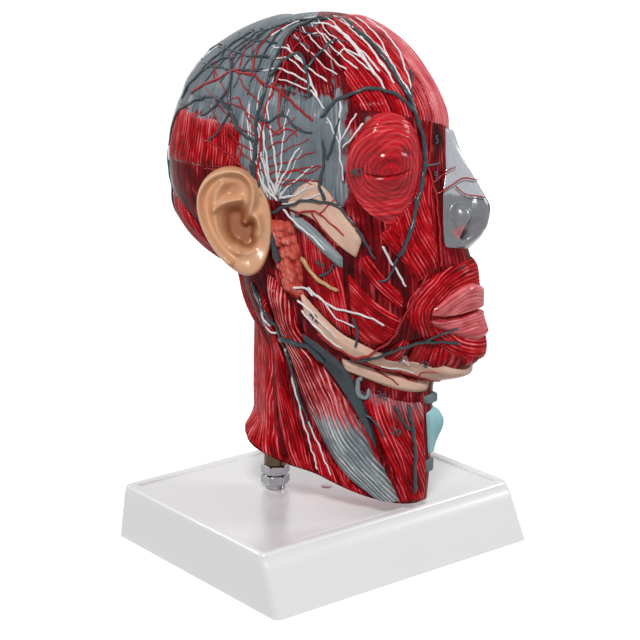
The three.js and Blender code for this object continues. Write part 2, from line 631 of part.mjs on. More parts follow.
// Muscles, bones, glands and cartilages that lie on the shell, from the top layer down.
const SHEETS = [
  {
    name: 'nasal_cartilage',
    colour: 0x969ba0,
    firstShares: [[0, 61.5], [0, 57], [0, 51.6]],
    secondShares: [[7, 61.5], [11.5, 57], [13.5, 52]],
    along: 8,
    across: 6,
    relief: (run, turn) => noseRelief(NOSE_SPLIT_SHARE + (1 - NOSE_SPLIT_SHARE) * run, turn),
  },
  {
    name: 'nasal_bone',
    colour: 0xc3c8d0,
    firstShares: [[0, 67.5], [0, 64.5], [0, 61.9]],
    secondShares: [[5, 68], [6, 65], [7, 61.9]],
    along: 4,
    across: 4,
    relief: (run, turn) => noseRelief(NOSE_SPLIT_SHARE * run, turn),
  },
  {
    name: 'thyroid_cartilage',
    colour: 0x96d7dc,
    firstShares: [[0, 26], [0, 19], [0, 12]],
    secondShares: [[8, 25], [7, 19], [5, 12]],
    along: 5,
    across: 3,
    relief: (run, turn) => SKIN_THICKNESS
      + LARYNX_PROJECTION * Math.sin(Math.PI * (1 - run) ** 2) * (1 - turn),
  },
  {
    name: 'upper_lip',
    colour: PINK,
    thickness: LIP_THICKNESS,
    along: 5,
    across: 3,
    firstShares: [[24, 46.4], [14, 48.2], [6, 49.1], [0, 48.7]],
    secondShares: [[24, 46.1], [14, 46.4], [6, 46.7], [0, 46.8]],
  },
  {
    name: 'lower_lip',
    colour: PINK,
    thickness: LIP_THICKNESS,
    along: 5,
    across: 3,
    firstShares: [[24, 45.8], [14, 46], [6, 46.2], [0, 46.3]],
    secondShares: [[23, 45.4], [14, 44.5], [6, 44.1], [0, 44.3]],
  },
  {
    name: 'orbicularis_oris',
    colour: RED,
    thickness: STRAP_THICKNESS,
    along: 10,
    across: 2,
    firstShares: ringShares(MOUTH_RING_SHARES.middle, MOUTH_RING_SHARES.inner, 180),
    secondShares: ringShares(MOUTH_RING_SHARES.middle, MOUTH_RING_SHARES.outer, 180),
  },
  {
    name: 'orbicularis_oculi',
    colour: RED,
    thickness: STRAP_THICKNESS,
    along: 16,
    across: 3,
    ring: true,
    firstShares: ringShares(EYE_RING_SHARES.middle, EYE_RING_SHARES.inner, 360),
    secondShares: ringShares(EYE_RING_SHARES.middle, EYE_RING_SHARES.outer, 360),
  },
  {
    name: 'parotid_gland',
    colour: 0xb04050,
    thickness: GLAND_THICKNESS,
    along: 6,
    across: 4,
    firstShares: [[90, 52], [89, 45], [84, 39]],
    secondShares: [[76, 53], [73, 47], [74, 41]],
  },
  {
    name: 'zygomaticus_major',
    colour: RED,
    thickness: STRAP_THICKNESS,
    along: 5,
    across: 2,
    firstShares: [[47, 50], [40, 47.4], [33, 46.2]],
    secondShares: [[43, 51.8], [37, 49.4], [32, 47.8]],
  },
  {
    name: 'levator_labii',
    colour: RED,
    thickness: STRAP_THICKNESS,
    along: 4,
    across: 4,
    firstShares: [[34, 54], [32, 51.5], [28, 49.8]],
    secondShares: [[19, 60], [18, 56], [18, 51.4]],
  },
  {
    name: 'zygomatic_bone',
    colour: TAN,
    thickness: BONE_THICKNESS,
    along: 6,
    across: 2,
    firstShares: [[76, 56.4], [61, 59.4], [52, 56], [45, 53]],
    secondShares: [[76, 55.2], [64, 54.4], [54, 51.9], [47, 50.8]],
  },
  {
    name: 'masseter',
    colour: RED,
    thickness: STRAP_THICKNESS,
    along: 5,
    across: 4,
    firstShares: [[71, 53.6], [70, 46], [66, 40.8]],
    secondShares: [[51, 50.2], [50, 45], [49, 39.4]],
  },
  {
    name: 'buccinator',
    colour: RED,
    thickness: SKIN_THICKNESS,
    along: 4,
    across: 3,
    firstShares: [[49, 48.6], [42, 46.6], [33, 45.4]],
    secondShares: [[48, 40], [41, 40.6], [33, 43]],
  },
  {
    name: 'depressor_anguli_oris',
    colour: RED,
    thickness: STRAP_THICKNESS,
    along: 4,
    across: 3,
    firstShares: [[32, 42.2], [34, 40.4], [38, 38.4]],
    secondShares: [[27, 42], [26.5, 40], [26.5, 38]],
  },
  {
    name: 'depressor_labii',
    colour: RED,
    thickness: STRAP_THICKNESS,
    along: 4,
    across: 3,
    firstShares: [[25.5, 41.9], [25, 40], [25, 38]],
    secondShares: [[12, 41.8], [12.5, 40], [13, 38.4]],
  },
  {
    name: 'mandible',
    colour: TAN,
    thickness: BONE_THICKNESS,
    along: 10,
    across: 2,
    firstShares: [[76, 41.8], [66, 40], [54, 38.6], [44, 38.8], [34, 38], [22, 37.6], [10, 38], [0, 38.2]],
    secondShares: [
      [74, 38.6], [66, 36], [56, 34.6], [46, 35], [36, 35.2], [24, 35.2], [12, 35.4], [0, 35.6],
    ],
  },
  {
    name: 'frontalis',
    colour: RED,
    thickness: SKIN_THICKNESS,
    along: 6,
    across: 5,
    firstShares: [[1, 68.6], [1, 76], [1, 84], [1, 92]],
    secondShares: [[46, 74], [46, 80], [46, 86], [50, 92]],
  },
  {
    name: 'temporalis',
    colour: 0x7e1420,
    thickness: SKIN_THICKNESS,
    along: 5,
    across: 4,
    firstShares: [[50, 74], [49, 80], [52, 86], [58, 92]],
    secondShares: [[87, 78.6], [88, 83], [90, 87], [94, 92]],
  },
  {
    name: 'temporal_fascia',
    colour: GREY,
    thickness: SKIN_THICKNESS,
    along: 4,
    across: 3,
    firstShares: [[50.5, 58], [51, 66], [52, 72.6]],
    secondShares: [[86, 59.5], [88, 66], [89, 77]],
  },
  {
    name: 'epicranial_aponeurosis',
    colour: GREY,
    thickness: SKIN_THICKNESS,
    along: 7,
    across: 8,
    firstShares: [[96, 72.5], [94, 80], [96, 87], [100, 96]],
    secondShares: [[178, 72], [178, 80], [178, 88], [178, 96]],
  },
  {
    name: 'occipitalis',
    colour: RED,
    thickness: SKIN_THICKNESS,
    along: 5,
    across: 5,
    firstShares: [[98, 61.5], [96, 66], [97, 71.4]],
    secondShares: [[150, 60], [150, 65], [150, 70.8]],
  },
  {
    name: 'sternocleidomastoid',
    colour: RED,
    thickness: NECK_MUSCLE_THICKNESS,
    along: 8,
    across: 4,
    firstShares: [[97, 42], [94, 33], [88, 22], [79, 13.5], [64, 5.6], [42, 1.2]],
    secondShares: [[84, 39.6], [78, 31.6], [66, 26], [52, 20.4], [38, 11.6], [24, 1.2]],
  },
  {
    name: 'trapezius',
    colour: RED,
    thickness: TRAPEZIUS_THICKNESS,
    along: 11,
    across: 4,
    firstShares: [[178, 1], [178, 18], [178, 38], [178, 54]],
    secondShares: [[106, 1], [108, 14], [113, 30], [140, 54]],
  },
  {
    name: 'sternohyoid',
    colour: RED,
    thickness: STRAP_THICKNESS,
    along: 5,
    across: 4,
    firstShares: [[42, 25.6], [38, 17], [30, 9], [22.5, 2]],
    secondShares: [[9.5, 28], [9, 19], [7, 10], [6, 1.2]],
  },
  {
    name: 'digastric',
    colour: TAN,
    thickness: STRAP_THICKNESS,
    along: 5,
    across: 2,
    firstShares: [[56, 33], [40, 34], [22, 34.2], [6, 34.6]],
    secondShares: [[54, 29.4], [40, 29.6], [22, 30], [6, 30.6]],
  },
];

// Base pieces. A loft joins rounded rectangles, given from the lowest to the highest.
function roundedRectangle(level) {
  const points = [];
  const round = level.round;
  const corners = [
    [level.right - round, level.rear - round, 0],
    [level.left + round, level.rear - round, 90],
    [level.left + round, level.front + round, 180],
    [level.right - round, level.front + round, 270],
  ];
  for (const [x, y, start] of corners) {
    for (let k = 0; k <= CORNER_STEPS; k += 1) {
      const angle = toRadians(start + (90 * k) / CORNER_STEPS);
      points.push(new THREE.Vector3(x + round * Math.cos(angle), y + round * Math.sin(angle), level.height));
    }
  }
  return points;
}
const CORNER_STEPS = 3;
const EDGE_STEPS = 2;

function loftSolid(levels) {
  const rings = levels.map(roundedRectangle);
  const count = rings[0].length;
  const points = rings.flat();
  const faces = [];
  for (let i = 0; i + 1 < rings.length; i += 1) {
    for (let j = 0; j < count; j += 1) {
      const next = (j + 1) % count;
      faces.push([i * count + j, i * count + next, (i + 1) * count + next]);
      faces.push([i * count + j, (i + 1) * count + next, (i + 1) * count + j]);
    }
  }
  const top = (rings.length - 1) * count;
  for (let j = 1; j + 1 < count; j += 1) {
    faces.push([0, j + 1, j]);
    faces.push([top, top + j, top + j + 1]);
  }
  return toSolid(points, faces);
}

// The outline of the tray at a height, drawn in by an inset.
function trayLevel(height, inset, at = height) {
  const share = at / BASE_HEIGHT;
  return {
    height,
    left: -(BASE_LENGTH / 2 - SIDE_DRAFT * share) + inset,
    right: BASE_LENGTH / 2 - SIDE_DRAFT * share - inset,
    front: -(BASE_DEPTH / 2 - FRONT_DRAFT * share) + inset,
    rear: BASE_DEPTH / 2 - REAR_DRAFT * share - inset,
    round: BASE_CORNER_ROUND,
  };
}

function cylinderSolid(diameter, height, x, y, low, sides = ROUND_SIDES) {
  const geometry = new THREE.CylinderGeometry(diameter / 2, diameter / 2, height, sides);
  geometry.rotateX(Math.PI / 2);
  geometry.translate(x, y, low + height / 2);
  return geometryToSolid(geometry);
}

const RECESS_FLOOR = BASE_HEIGHT - RECESS_DEPTH;
const TRAY_CEILING = RECESS_FLOOR - BASE_WALL;
const POST_FOOT = COVER_THICKNESS + GAP;
const STUD_HOLE = STUD_DIAMETER + 2 * GAP;

const POST_PLACES = [
  [-1, -1], [1, -1], [1, 1], [-1, 1],
].map(([sideX, sideY]) => [
  sideX * (BASE_LENGTH / 2 - SIDE_DRAFT - POST_INSET),
  sideY > 0
    ? BASE_DEPTH / 2 - REAR_DRAFT - POST_INSET
    : -(BASE_DEPTH / 2 - FRONT_DRAFT - POST_INSET),
]);

function baseTray() {
  const levels = [trayLevel(0, 0), trayLevel(BASE_HEIGHT - BASE_EDGE_ROUND, 0)];
  for (let k = 1; k <= EDGE_STEPS; k += 1) {
    const angle = ((Math.PI / 2) * k) / EDGE_STEPS;
    const height = BASE_HEIGHT - BASE_EDGE_ROUND * (1 - Math.sin(angle));
    levels.push(trayLevel(height, BASE_EDGE_ROUND * (1 - Math.cos(angle)), BASE_HEIGHT));
  }
  const hollow = loftSolid([
    trayLevel(-OVERRUN, BASE_WALL, 0),
    trayLevel(0, BASE_WALL),
    trayLevel(TRAY_CEILING, BASE_WALL),
  ]);
  const recess = loftSolid([
    trayLevel(RECESS_FLOOR, BASE_EDGE_ROUND + RIM_WIDTH, BASE_HEIGHT),
    trayLevel(BASE_HEIGHT + OVERRUN, BASE_EDGE_ROUND + RIM_WIDTH, BASE_HEIGHT),
  ]);
  let tray = loftSolid(levels).subtract(hollow).subtract(recess);
  for (const [x, y] of POST_PLACES) {
    tray = tray.add(cylinderSolid(POST_DIAMETER, TRAY_CEILING + GAP - POST_FOOT, x, y, POST_FOOT));
  }
  const studHole = cylinderSolid(STUD_HOLE, BASE_HEIGHT, STUD_PLACE_X, STUD_PLACE_Y, BASE_WALL);
  const plugBore = PLUG_BODY_DIAMETER + 2 * GAP;
  const plugHole = cylinderSolid(plugBore, BASE_HEIGHT, PLUG_PLACE_X, PLUG_PLACE_Y, BASE_WALL);
  return tray.subtract(studHole).subtract(plugHole);
}

// The cover lies inside the wall of the tray, against the feet of the posts.
function coverPlate() {
  return loftSolid([
    trayLevel(0, BASE_WALL + GAP),
    trayLevel(COVER_THICKNESS, BASE_WALL + GAP),
  ]);
}

function holePlug() {
  const [x, y] = [PLUG_PLACE_X, PLUG_PLACE_Y];
  const length = BASE_WALL + PLUG_HEAD_HEIGHT;
  const head = cylinderSolid(PLUG_DIAMETER, PLUG_HEAD_HEIGHT, x, y, RECESS_FLOOR + GAP);
  const body = cylinderSolid(PLUG_BODY_DIAMETER, length, x, y, RECESS_FLOOR - BASE_WALL);
  return head.add(body);
}

// The stack on the stud, worked out upwards and downwards from the tray's top.
const SPACER_FOOT = RECESS_FLOOR + GAP;
const LOWER_NUT_FOOT = SPACER_FOOT + SPACER_HEIGHT + GAP;
const LOCK_NUT_FOOT = LOWER_NUT_FOOT + NUT_HEIGHT + GAP;
const BUSH_FOOT = LOCK_NUT_FOOT + NUT_HEIGHT + GAP;
const UNDER_WASHER_FOOT = TRAY_CEILING - GAP - UNDER_WASHER_HEIGHT;
const UNDER_NUT_FOOT = UNDER_WASHER_FOOT - GAP - NUT_HEIGHT;
const STUD_FOOT = UNDER_NUT_FOOT - OVERRUN;

function boredCylinder(diameter, height, low, sides) {
  const body = cylinderSolid(diameter, height, STUD_PLACE_X, STUD_PLACE_Y, low, sides);
  const through = height + 2 * OVERRUN;
  return body.subtract(cylinderSolid(STUD_HOLE, through, STUD_PLACE_X, STUD_PLACE_Y, low - OVERRUN));
}

function hexNut(low) {
  const corners = NUT_ACROSS_FLATS / Math.cos(Math.PI / 6);
  const hexagon = boredCylinder(corners, NUT_HEIGHT, low, 6);
  const profile = [
    [0, 0],
    [corners / 2 - NUT_CHAMFER, 0],
    [corners / 2, NUT_CHAMFER],
    [corners / 2, NUT_HEIGHT - NUT_CHAMFER],
    [corners / 2 - NUT_CHAMFER, NUT_HEIGHT],
    [0, NUT_HEIGHT],
  ].map(([x, y]) => new THREE.Vector2(x, y));
  const round = new THREE.LatheGeometry(profile, ROUND_SIDES);
  round.rotateX(Math.PI / 2);
  round.translate(STUD_PLACE_X, STUD_PLACE_Y, low);
  return hexagon.intersect(geometryToSolid(round));
}

function supportStud() {
  const length = BASE_HEIGHT + STUD_REACH_ABOVE - STUD_FOOT;
  return cylinderSolid(STUD_DIAMETER, length, STUD_PLACE_X, STUD_PLACE_Y, STUD_FOOT);
}

// Head shell: the outer and the inner surface of the half head, joined at the median rim
// and at the cut of the neck.
function shellSolid() {
  return halfHead(0).subtract(halfHead(-SHELL_WALL, OVERRUN));
}

function boxSolid(width, depth, height, centre, turn) {
  const geometry = new THREE.BoxGeometry(width, depth, height);
  geometry.applyMatrix4(new THREE.Matrix4().makeRotationFromEuler(turn));
  geometry.translate(centre.x, centre.y, centre.z);
  return geometryToSolid(geometry);
}

const innerHead = halfHead(-SHELL_WALL - GAP, OVERRUN);
const LEVEL = new THREE.Euler(0, 0, 0);

// A flat layer of the inside of the head between two depths from the median plane.
function medianLayer(near, far) {
  const span = 2 * (HEAD_RISE + HEAD_LENGTH);
  const centre = new THREE.Vector3(MEDIAN_FROM_STUD - (near + far) / 2, 0, HEAD_RISE / 2);
  return innerHead.intersect(boxSolid(far - near, span, span, centre, LEVEL));
}

function medianPanel() {
  return medianLayer(SECTION_RECESS, SECTION_RECESS + SECTION_PLATE);
}

// The plate that closes the neck lies on the slope of the cut, just inside the shell.
function neckPlate() {
  const span = 2 * HEAD_LENGTH;
  const slope = Math.atan(NECK_CUT_SLOPE);
  const { origin } = spineRay(90, 0);
  const inset = cutNormal.clone().multiplyScalar(NECK_PLATE / 2 + GAP);
  const centre = toHeadFrame(origin.add(inset));
  const slab = boxSolid(span, span, NECK_PLATE, centre, new THREE.Euler(slope, 0, 0));
  const behind = medianLayer(SECTION_RECESS + SECTION_PLATE + GAP, HEAD_HALF_WIDTH);
  const hole = cylinderSolid(BUSH_DIAMETER + 2 * GAP, HEAD_RISE, 0, 0, 0);
  return slab.intersect(behind).subtract(hole);
}

function neckBush() {
  const body = cylinderSolid(BUSH_DIAMETER, BUSH_LENGTH, 0, 0, BUSH_FOOT);
  return body.subtract(cylinderSolid(STUD_HOLE, BUSH_LENGTH + 2 * OVERRUN, 0, 0, BUSH_FOOT - OVERRUN));
}

// Organs of the median section stand on the recessed panel and end near the open face.
// Their outlines are places in the median plane: the share of the head's length behind
// the stud, and the share of the rise over the tip of the neck.
const ORGAN_PROUD = 1.2;
const OUTLINE_STEPS = 3;
const ORGANS = [
  {
    name: 'corpus_callosum',
    colour: 0xe9dfd2,
    outlineShares: [
      [-0.23, 0.765], [-0.25, 0.8], [-0.2, 0.835], [-0.08, 0.85], [0.06, 0.83], [0.11, 0.785],
      [0.08, 0.775], [0.03, 0.805], [-0.08, 0.822], [-0.18, 0.81], [-0.21, 0.785],
    ],
  },
  {
    name: 'brainstem_and_cord',
    colour: 0xe6c9a8,
    outlineShares: [
      [-0.12, 0.76], [-0.07, 0.79], [0.01, 0.775], [0.03, 0.73], [0.035, 0.66], [0.015, 0.58],
      [-0.055, 0.48], [-0.085, 0.36], [-0.095, 0.2], [-0.125, 0.2], [-0.118, 0.36], [-0.09, 0.48],
      [-0.03, 0.57], [-0.05, 0.63], [-0.08, 0.67], [-0.055, 0.71],
    ],
  },
  {
    name: 'cerebellum',
    colour: 0xd9a38c,
    outlineShares: [
      [0.055, 0.7], [0.12, 0.712], [0.22, 0.7], [0.28, 0.655], [0.25, 0.6], [0.16, 0.57],
      [0.075, 0.59], [0.06, 0.64],
    ],
  },
  {
    name: 'cerebrum',
    colour: 0xe3b3a0,
    outlineShares: [
      [-0.46, 0.77], [-0.45, 0.85], [-0.36, 0.925], [-0.2, 0.965], [0, 0.96], [0.18, 0.915], [0.3, 0.83],
      [0.335, 0.75], [0.28, 0.71], [0.2, 0.725], [0.1, 0.735], [0.02, 0.76], [-0.13, 0.735], [-0.22, 0.7],
      [-0.3, 0.71], [-0.34, 0.745], [-0.4, 0.75],
    ],
  },
  {
    name: 'nasal_wall',
    colour: 0xd98a86,
    outlineShares: [
      [-0.57, 0.56], [-0.55, 0.63], [-0.5, 0.69], [-0.4, 0.705], [-0.3, 0.67], [-0.28, 0.61],
      [-0.3, 0.56], [-0.44, 0.552],
    ],
  },
  {
    name: 'palate',
    colour: 0xd99a86,
    outlineShares: [
      [-0.6, 0.535], [-0.5, 0.543], [-0.4, 0.54], [-0.3, 0.53], [-0.25, 0.48], [-0.27, 0.475], [-0.32, 0.505],
      [-0.42, 0.517], [-0.56, 0.512], [-0.6, 0.49], [-0.62, 0.5],
    ],
  },
  {
    name: 'tongue',
    colour: 0xc25f5c,
    outlineShares: [
      [-0.58, 0.455], [-0.54, 0.49], [-0.44, 0.497], [-0.34, 0.478], [-0.28, 0.43], [-0.29, 0.37],
      [-0.36, 0.34],
      [-0.46, 0.335], [-0.54, 0.36], [-0.55, 0.41],
    ],
  },
  {
    name: 'vertebral_column',
    colour: 0xe4d3ae,
    outlineShares: [
      [-0.12, 0.56], [-0.1, 0.5], [-0.135, 0.42], [-0.14, 0.3], [-0.145, 0.2], [-0.24, 0.19], [-0.24, 0.3],
      [-0.225, 0.42], [-0.18, 0.5], [-0.16, 0.56],
    ],
  },
  {
    name: 'larynx_and_trachea',
    colour: 0xb9d5d6,
    outlineShares: [
      [-0.36, 0.3], [-0.33, 0.32], [-0.3, 0.29], [-0.3, 0.2], [-0.31, 0.1], [-0.33, 0.08],
      [-0.39, 0.055], [-0.41, 0.06],
      [-0.4, 0.14], [-0.42, 0.2], [-0.44, 0.24], [-0.42, 0.275],
    ],
  },
];

// A closed outline moved outwards by a distance, each place square to its neighbours.
function grownOutline(places, grow) {
  const area = THREE.ShapeUtils.area(places);
  return places.map((place, k) => {
    const before = places[(k + places.length - 1) % places.length];
    const after = places[(k + 1) % places.length];
    const run = after.clone().sub(before).normalize().multiplyScalar(Math.sign(area) * grow);
    return new THREE.Vector2(place.x + run.y, place.y - run.x);
  });
}

function organSolid(organ, grow) {
  const corners = organ.outlineShares.map(([back, rise]) => new THREE.Vector3(
    back * HEAD_LENGTH,
    NECK_TIP_HEIGHT + rise * HEAD_RISE,
    0,
  ));
  const curve = new THREE.CatmullRomCurve3(corners, true, 'centripetal');
  const places = curve.getPoints(corners.length * OUTLINE_STEPS).slice(0, -1);
  const flat = places.map(({ x, y }) => new THREE.Vector2(x, y));
  const shape = new THREE.Shape(grownOutline(flat, grow));
  const depth = SECTION_RECESS - GAP + ORGAN_PROUD + 2 * grow;
  const geometry = new THREE.ExtrudeGeometry(shape, { depth, bevelEnabled: false });
  geometry.applyMatrix4(new THREE.Matrix4().makeBasis(
    new THREE.Vector3(0, 1, 0),
    new THREE.Vector3(0, 0, 1),
    new THREE.Vector3(1, 0, 0),
  ));
  geometry.translate(MEDIAN_FROM_STUD - SECTION_RECESS + GAP - grow, 0, 0);
  return geometryToSolid(geometry);
}

// Ear: rings of points round its middle, a raised rim in front and a flat back.
const EAR_RINGS = 5;
const EAR_SPOKES = 16;
const LOBE_SHARE = 0.22;
const RIM_PLACE_SHARE = 0.84;
const RIM_BREADTH_SHARE = 0.16;
const BOWL_SHARE = 0.7;
const EAR_ROOT_SHARE = 0.75;
const EAR_FROM_MEDIAN = HEAD_HALF_WIDTH * EAR_FROM_MEDIAN_SHARE;
const EAR_BACK = HEAD_LENGTH * EAR_BACK_SHARE;
const EAR_CENTRE_HEIGHT = NECK_TIP_HEIGHT + HEAD_RISE * EAR_RISE_SHARE;

function earPoint(share, angle, front, grow) {
  const narrowing = 1 + LOBE_SHARE * Math.cos(angle);
  const back = (EAR_WIDTH / 2 + grow) * share * Math.sin(angle) * narrowing;
  const rise = (EAR_HEIGHT / 2 + grow) * share * Math.cos(angle);
  const ridge = Math.exp(-(((share - RIM_PLACE_SHARE) / RIM_BREADTH_SHARE) ** 2));
  const bowl = ridge - BOWL_SHARE * (1 - share) ** 2 * (1 - ridge);
  const outward = front ? EAR_PLATE + EAR_RIM * bowl + grow : -EAR_RIM * (1 - share) - grow;
  return new THREE.Vector3(-outward, back, rise);
}

function earSolid(grow) {
  const points = [earPoint(0, 0, true, grow), earPoint(0, 0, false, grow)];
  const faces = [];
  const at = (ring, spoke, front) => {
    const pair = 1 + (ring - 1) * EAR_SPOKES + (spoke % EAR_SPOKES);
    return 2 * pair + (front ? 0 : 1);
  };
  for (let ring = 1; ring <= EAR_RINGS; ring += 1) {
    for (let spoke = 0; spoke < EAR_SPOKES; spoke += 1) {
      const angle = (2 * Math.PI * spoke) / EAR_SPOKES;
      points.push(earPoint(ring / EAR_RINGS, angle, true, grow));
      points.push(earPoint(ring / EAR_RINGS, angle, false, grow));
    }
  }
  for (let spoke = 0; spoke < EAR_SPOKES; spoke += 1) {
    faces.push([0, at(1, spoke, true), at(1, spoke + 1, true)]);
    faces.push([1, at(1, spoke + 1, false), at(1, spoke, false)]);
    for (let ring = 1; ring < EAR_RINGS; ring += 1) {
      for (const front of [true, false]) {
        const cell = [
          at(ring, spoke, front),
          at(ring + 1, spoke, front),
          at(ring + 1, spoke + 1, front),
          at(ring, spoke + 1, front),
        ];
        const turned = front ? cell : [...cell].reverse();
        faces.push([turned[0], turned[1], turned[2]], [turned[0], turned[2], turned[3]]);
      }
    }
    const [here, next] = [spoke, spoke + 1];
    faces.push([at(EAR_RINGS, here, true), at(EAR_RINGS, here, false), at(EAR_RINGS, next, false)]);
    faces.push([at(EAR_RINGS, here, true), at(EAR_RINGS, next, false), at(EAR_RINGS, next, true)]);
  }
  const turn = new THREE.Euler(-toRadians(EAR_LEAN), 0, toRadians(EAR_FLARE));
  const place = new THREE.Matrix4().makeRotationFromEuler(turn);
  place.setPosition(MEDIAN_FROM_STUD - EAR_FROM_MEDIAN, EAR_BACK, EAR_CENTRE_HEIGHT);
  const plate = toSolid(points.map((point) => point.applyMatrix4(place)), faces);
  const radius = EAR_ROOT_DIAMETER / 2 + grow;
  const root = new THREE.CylinderGeometry(radius, radius, EAR_FROM_MEDIAN / 2, ROUND_SIDES);
  root.rotateZ(Math.PI / 2);
  root.translate(MEDIAN_FROM_STUD - EAR_FROM_MEDIAN * EAR_ROOT_SHARE, EAR_BACK, EAR_CENTRE_HEIGHT);
  return largestBody(plate.add(geometryToSolid(root)).subtract(headCutter));
}

// Assembly. The head group turns with the yaw of the head on its stud.
const model = new THREE.Group();
const headGroup = new THREE.Group();
headGroup.position.set(STUD_PLACE_X, STUD_PLACE_Y, 0);
headGroup.rotation.z = toRadians(HEAD_YAW);
model.add(headGroup);

function addPiece(group, name, solid, colour, roughness = 0.35, metalness = 0) {
  const material = new THREE.MeshStandardMaterial({ color: colour, roughness, metalness });
  const mesh = new THREE.Mesh(toGeometry(solid), material);
  mesh.name = name;
  group.add(mesh);
}

const WHITE = 0xf2f2f0;
const STEEL = 0xb4b8bc;
addPiece(model, 'base_tray', baseTray(), WHITE, 0.2);
addPiece(model, 'base_cover_plate', coverPlate(), WHITE, 0.4);
addPiece(model, 'hole_plug', holePlug(), WHITE, 0.3);
addPiece(model, 'support_stud', supportStud(), STEEL, 0.3, 1);
const spacer = boredCylinder(SPACER_DIAMETER, SPACER_HEIGHT, SPACER_FOOT);
const washer = boredCylinder(UNDER_WASHER_DIAMETER, UNDER_WASHER_HEIGHT, UNDER_WASHER_FOOT);
addPiece(model, 'stud_spacer', spacer, STEEL, 0.3, 1);
addPiece(model, 'lower_nut', hexNut(LOWER_NUT_FOOT), STEEL, 0.25, 1);
addPiece(model, 'lock_nut', hexNut(LOCK_NUT_FOOT), STEEL, 0.25, 1);
addPiece(model, 'under_washer', washer, STEEL, 0.3, 1);
addPiece(model, 'under_nut', hexNut(UNDER_NUT_FOOT), STEEL, 0.25, 1);
addPiece(headGroup, 'neck_bush', neckBush(), 0xc9b070, 0.3, 1);
addPiece(headGroup, 'neck_plate', neckPlate(), 0x8a1a22, 0.5);
addPiece(headGroup, 'half_head_shell', shellSolid(), 0x8c1018, 0.35);
addPiece(headGroup, 'median_panel', medianPanel(), 0xc9746c, 0.45);

// Each solid is cut by the shell and by the pieces laid before it, with a gap all round.
const laid = [];

function overlapsBox(a, b) {
  const first = a.boundingBox();
  const second = b.boundingBox();
  return [0, 1, 2].every((k) => first.min[k] < second.max[k] && second.min[k] < first.max[k]);
}

function layPiece(name, body, grown, colour, roughness) {
  let solid = body;
  for (const other of laid) {
    if (overlapsBox(solid, other)) solid = solid.subtract(other);
  }
  solid = largestBody(solid);
  addPiece(headGroup, name, solid, colour, roughness);
  laid.push(grown);
}

layPiece('ear', earSolid(0), earSolid(GAP), 0xe09a6c, 0.4);
for (const tree of TREES) {
  layPiece(tree.name, treeSolid(tree, 0), treeSolid(tree, GAP), tree.colour, 0.3);
}
for (const sheet of SHEETS) {
  const body = sheetSolid(sheet, 0).subtract(headCutter);
  layPiece(sheet.name, body, sheetSolid(sheet, GAP), sheet.colour, 0.35);
}
laid.length = 0;
for (const organ of ORGANS) {
  const body = organSolid(organ, 0).intersect(innerHead);
  layPiece(organ.name, body, organSolid(organ, GAP), organ.colour, 0.45);
}

export default model;
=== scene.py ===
import math

import bmesh
import bpy
import numpy as np
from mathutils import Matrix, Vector


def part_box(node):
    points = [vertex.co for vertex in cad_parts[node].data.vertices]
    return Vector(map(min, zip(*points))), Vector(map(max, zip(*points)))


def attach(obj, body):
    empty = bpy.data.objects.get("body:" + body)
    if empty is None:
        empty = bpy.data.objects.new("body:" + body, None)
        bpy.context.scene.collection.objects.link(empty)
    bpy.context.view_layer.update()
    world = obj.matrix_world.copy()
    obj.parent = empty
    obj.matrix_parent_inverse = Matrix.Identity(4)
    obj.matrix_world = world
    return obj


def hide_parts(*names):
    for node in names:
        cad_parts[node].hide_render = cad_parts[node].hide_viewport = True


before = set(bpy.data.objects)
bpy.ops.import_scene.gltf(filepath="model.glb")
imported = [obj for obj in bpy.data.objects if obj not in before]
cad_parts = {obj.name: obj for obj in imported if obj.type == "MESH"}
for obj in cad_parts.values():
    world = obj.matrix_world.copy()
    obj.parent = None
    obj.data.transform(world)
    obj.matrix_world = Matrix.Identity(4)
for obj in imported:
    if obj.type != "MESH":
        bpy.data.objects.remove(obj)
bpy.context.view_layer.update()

# Camera: a long lens from the front right, a little above the head, as a product picture
# of the whole model on its base is taken.
MM = 0.001
CAMERA_AIM = Vector((0.94, 3.5, 152.6)) * MM
CAMERA_DISTANCE, CAMERA_REACH = 1.26375, 50.0
CAMERA_AZIMUTH, CAMERA_ELEVATION = math.radians(-38.347), math.radians(15.79)
CAMERA_LENS, CAMERA_SENSOR = 107.45, 36.0


def add_object(name, data):
    """A new object of the scene for a camera, a lamp or a mesh."""
    added = bpy.data.objects.new(name, data)
    bpy.context.scene.collection.objects.link(added)
    return added


toward_camera = Vector((
    math.sin(CAMERA_AZIMUTH) * math.cos(CAMERA_ELEVATION),
    -math.cos(CAMERA_AZIMUTH) * math.cos(CAMERA_ELEVATION),
    math.sin(CAMERA_ELEVATION),
))
camera_data = bpy.data.cameras.new("product_camera")
camera_data.lens = CAMERA_LENS
camera_data.sensor_width = CAMERA_SENSOR
camera_data.clip_end = CAMERA_REACH
camera = add_object("product_camera", camera_data)
camera.location = CAMERA_AIM + toward_camera * CAMERA_DISTANCE
camera.rotation_euler = (-toward_camera).to_track_quat("-Z", "Y").to_euler()
bpy.context.scene.camera = camera
bpy.context.scene.view_settings.view_transform = "Standard"


# Studio: a white floor that keeps a faint shadow, a white surround that the camera and the
# gloss see, and three large soft lamps at a plain level.
FLOOR_HALF_SIZE = 12.0
FLOOR_GREY = (0.4, 0.4, 0.4)
FLOOR_GLOW = 0.92
AMBIENT_LEVEL = 0.25
WHITE = (1.0, 1.0, 1.0)
STUDIO_LAMPS = (
    ("key_lamp", (-1.4, -1.6, 2.1), 0.6, 51.0),
    ("side_lamp", (1.9, -1.2, 1.3), 0.7, 18.0),
    ("rear_lamp", (-1.3, 1.8, 1.7), 0.9, 15.0),
)


